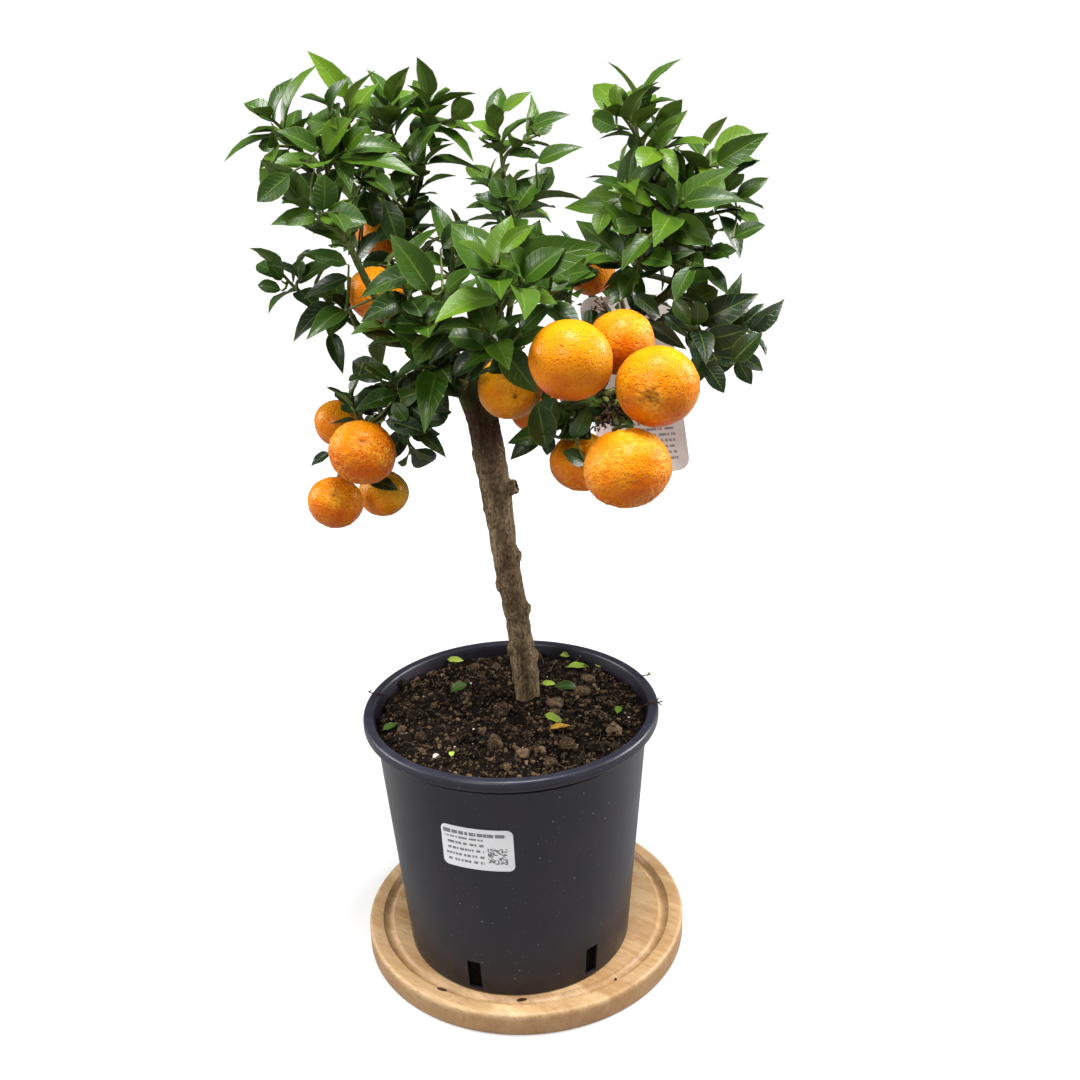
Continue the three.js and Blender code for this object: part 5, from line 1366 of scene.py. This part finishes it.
for name, twigs, counts, leaf_length, light in sprays:
    bm = bmesh.new()
    for foot, way, face, length, tone, slim in leaves_of[name]:
        add_leaf(bm, foot, way, face, length, clamped(tone + more.uniform(-0.22, 0.22)), slim=slim)
    radii = [blend(1.35, 0.75, i / 9) for i in range(10)]
    stems = stems_of([([line(i / 9) for i in range(10)], radii) for line, _ in twigs] + stalklets[name])
    stems.polygons.foreach_set("material_index", [2] * len(stems.polygons))
    bm.from_mesh(stems)
    for line, _ in twigs:
        bud = bmesh.new()
        bmesh.ops.create_icosphere(bud, subdivisions=1, radius=1.3 * MM)
        bmesh.ops.scale(bud, verts=bud.verts, vec=(0.8, 0.8, 1.5))
        moved(bud, line(1) + heading(line, 1), POT_AXIS)
        for face in bud.faces:
            face.material_index = 2
        added(bm, bud)
    spray_parts = [*leaf_parts, young_bark]
    piece_of(settled(bm, Vector()), f"leaves_{name}", spray_parts, [f"spray_{name}"], 60)
bm = bmesh.new()
for foot, way, face, length, tone, slim in leaves_of["limb"]:
    add_leaf(bm, foot, way, face, length, clamped(tone + more.uniform(-0.2, 0.2)), slim=slim)
piece_of(settled(bm, Vector()), "limb_leaves", leaf_parts, ["tree"], 60)

# Dry blossoms: brown, crumpled flower ends that still hang between the fruits on the right.
wilted = random.Random(3)
blossoms, threads = bmesh.new(), []
limb_end = limb_lines["fruiting"]
upper_stalk, lower_stalk = bowed_line(*stalks[7][:3]), bowed_line(*stalks[9][:3])
# Rows of clusters: middle, spread, number of petals, and where their threads start.
CLUSTERS = [((61, -62, 417), 5, 80, limb_end(0.9)), ((68, -58, 411), 4, 80, limb_end(0.92)),
            ((53, -60, 410), 4, 26, limb_end(0.84)), ((64, -88, 422), 4.2, 110, lower_stalk(0.5)),
            ((58, -46, 474), 2.5, 9, upper_stalk(0.9))]
for middle, spread, number, carrier in CLUSTERS:
    for _ in range(number):
        petal = bmesh.new()
        bmesh.ops.create_icosphere(petal, subdivisions=1, radius=MM)
        form = (wilted.uniform(0.9, 2.2), wilted.uniform(0.5, 1), 0.35)
        bmesh.ops.scale(petal, verts=petal.verts, vec=form)
        rolled(petal, wilted.uniform(0, 3), "X")
        rolled(petal, wilted.uniform(0, 6), "Y")
        off = (wilted.gauss(0, spread), wilted.gauss(0, spread / 2), wilted.gauss(0, spread))
        spot = Vector(middle) + Vector(off)
        if any((spot - Vector(fruit)).length < radius + 1 for fruit, radius, _ in fruit_middles):
            continue
        moved(petal, spot, POT_AXIS)
        added(blossoms, petal)
        threads.append(([carrier, spot], [0.3, 0.15]))
blossoms.from_mesh(stems_of(threads, 0))
dry_petal = clouded_finish("dry_petal", 0.9, 0.1, (30, 23, 17), (118, 98, 74), 420, 0.45)
piece_of(settled(blossoms, Vector()), "dry_blossoms", [dry_petal], crease=60)

# Fallen leaves on the soil, green, yellow and brown, each propped on its tip and its sides.
# Rows: place from the pot's axis, compass turn, length, tone, how withered.
FALLEN = [((24, -34), 0.4, 20, 0.8, 0.8), ((40, 62), 0.1, 24, 1.2, 0.0), ((30, 26), 0.1, 18, 0.25, 0.0),
          ((21, 31), 0.0, 12, 1.3, 0.0), ((-42, 24), 0.9, 18, 0.4, 0.0), ((-47, 80), -0.2, 13, 1.4, 0.0),
          ((37, 80), 0.1, 11, 1.4, 0.0), ((66, 62), 1.9, 10, 1.5, 0.0), ((71, -12), 1.3, 13, 0.8, 0.0),
          ((-39, -60), 1.5, 9, 1.4, 0.0), ((22, -12), -0.7, 13, 1.2, 0.0), ((-86, -20), 0.8, 12, 0.6, 0.0)]
fallen_sets = [("fallen_leaf_one", FALLEN[:1], "withered_leaf", ["fallen_leaf_1"]),
               ("fallen_leaf_two", FALLEN[1:2], "leaf", ["fallen_leaf_2"]),
               ("fallen_leaves", FALLEN[2:], "leaf", [])]
for name, rows, slot, nodes in fallen_sets:
    bm = bmesh.new()
    for (x, y), turn, length, tone, wither in rows:
        way = unit(np.array([math.cos(turn), math.sin(turn), 0.12]))
        face = np.array([0, 0 if nodes else -0.6, 1.0])
        face = unit(face - way * face.dot(way))
        points = blade_of(np.array([x, y, 0.0]), way, face, length)
        lift = max(soil_height(p[0], p[1]) - p[2] for p in points) + 0.6
        add_leaf(bm, np.array([x, y, lift]), way, face, length, tone, wither, 0.72)
    piece_of(settled(bm, Vector()), name, leaf_parts, nodes, 60)

# Plant tag: a stiff white card that hangs behind the right fruit by a strap round the right limb. Its
# print is only thin grey lines that stand for text.
TAG_CENTRE, TAG_TURNS = (86.5, 13, 413), (-0.46, 0.03, 0.24)
card = rounded_card(59, 114, 8, 1, 0.8)
for turn, axis in zip(TAG_TURNS, "XYZ"):
    rolled(card, turn, axis)
moved(card, TAG_CENTRE)
tag_card, tree, shader = finish_of("tag_card", 0.45)
rows = print_rows(tree, *face_place(tree, "print"), 30.0, 26.0, (0.3, 0.88), (0.06, 0.5))
painted(tree, shader, (240, 226, 222), ((230, 212, 204), mottled(tree, 40, 0.4, 0.8)),
        ((120, 108, 102), rows, 0.8))
relief(tree, shader, mottled(tree, 200, 0.3, 0.7), 0.0001, 0.3)
piece_of(settled(card), "plant_tag_card", [tag_card], ["plant_tag"])
STRAP_AT, STRAP_INNER, STRAP_REACH, STRAP_WIDTH, STRAP_SLACK = 0.49, 6.4, 40, 4, 0.7
strap_way = heading(limb_lines["right"], STRAP_AT)
strap_up = unit(UP - strap_way * strap_way[2])
strap_side = np.cross(strap_up, strap_way)
drop = STRAP_INNER - blend(7, 2.2, STRAP_AT) - STRAP_SLACK
strap_place = limb_lines["right"](STRAP_AT) - strap_up * drop
strap = bmesh.new()
loop = bow(0, 0, STRAP_INNER + 0.9, 90, 270, 12) + bow(STRAP_REACH, 0, STRAP_INNER + 0.9, -90, 90, 12)
ring = [strap.verts.new((x * MM, y * MM, -STRAP_WIDTH / 2 * MM)) for x, y in loop]
edges = [strap.edges.new((ring[i], ring[(i + 1) % len(ring)])) for i in range(len(ring))]
made = bmesh.ops.extrude_edge_only(strap, edges=edges)["geom"]
raised = [item for item in made if isinstance(item, bmesh.types.BMVert)]
bmesh.ops.translate(strap, verts=raised, vec=(0, 0, STRAP_WIDTH * MM))
bmesh.ops.recalc_face_normals(strap, faces=strap.faces)
bmesh.ops.solidify(strap, geom=strap.faces[:], thickness=0.8 * MM)
bmesh.ops.recalc_face_normals(strap, faces=strap.faces)
basis = Matrix((strap_side, strap_up, strap_way)).transposed()
bmesh.ops.rotate(strap, verts=strap.verts, cent=(0, 0, 0), matrix=basis)
moved(strap, strap_place)
strap_plastic = clouded_finish("tag_strap", 0.5, 0.5, (150, 146, 148), (130, 126, 128), 90, high=0.7)
piece_of(settled(strap), "plant_tag_strap", [strap_plastic], ["plant_tag"])

# Studio: a plain pale floor, a pale surround, and soft boxes over the tree and at both of its sides.
stage = bmesh.new()
bmesh.ops.create_grid(stage, x_segments=1, y_segments=1, size=14)
floor_mesh = settled(stage, Vector())
floor_paint, tree, shader = finish_of("studio_floor", 0.9, 0.1)
shader.inputs["Base Color"].default_value = tint(150, 150, 150)
shader.inputs["Emission Color"].default_value = (1, 1, 1, 1)
away = put(tree, "VectorMath", {0: spots_of(tree)}, operation="LENGTH").outputs["Value"]
seen = put(tree, "LightPath", {}).outputs["Is Camera Ray"]
feed(tree, shader.inputs["Emission Strength"], times(tree, level(tree, away, 0.1, 1.1, 0.62, 0.97), seen))
floor_mesh.materials.append(floor_paint)
floor = shown("studio_floor", floor_mesh)
# Rows of soft boxes, in metres and watts: place, size and power.
SOFT_BOXES = [((-1.5, 0.3, 0.9), 0.8, 22), ((1.5, 0.3, 0.9), 0.8, 35), ((0.1, -0.4, 1.9), 0.7, 46),
              ((-0.8, -1.7, 1.3), 0.6, 16)]
for i, (place, size, power) in enumerate(SOFT_BOXES):
    box = bpy.data.lights.new(f"soft_box_{i}", "AREA")
    box.shape, box.size, box.energy = "DISK", size, power
    lamp = shown(f"soft_box_{i}", box)
    lamp.location = place
    lamp.rotation_euler = (Vector((0, 0, 0.35)) - Vector(place)).to_track_quat("-Z", "Y").to_euler()
world = bpy.data.worlds.new("pale_surround")
world.use_nodes = True
sky = world.node_tree
surround = sky.nodes["Background"]
surround.inputs["Color"].default_value = (1, 1, 1, 1)
seen = put(sky, "LightPath", {}).outputs["Is Camera Ray"]
feed(sky, surround.inputs["Strength"], put(sky, "MapRange", {"Value": seen, "To Min": 0.16, "To Max": 1.0}))
bpy.context.scene.world = world
bpy.context.scene.view_settings.view_transform = "Standard"
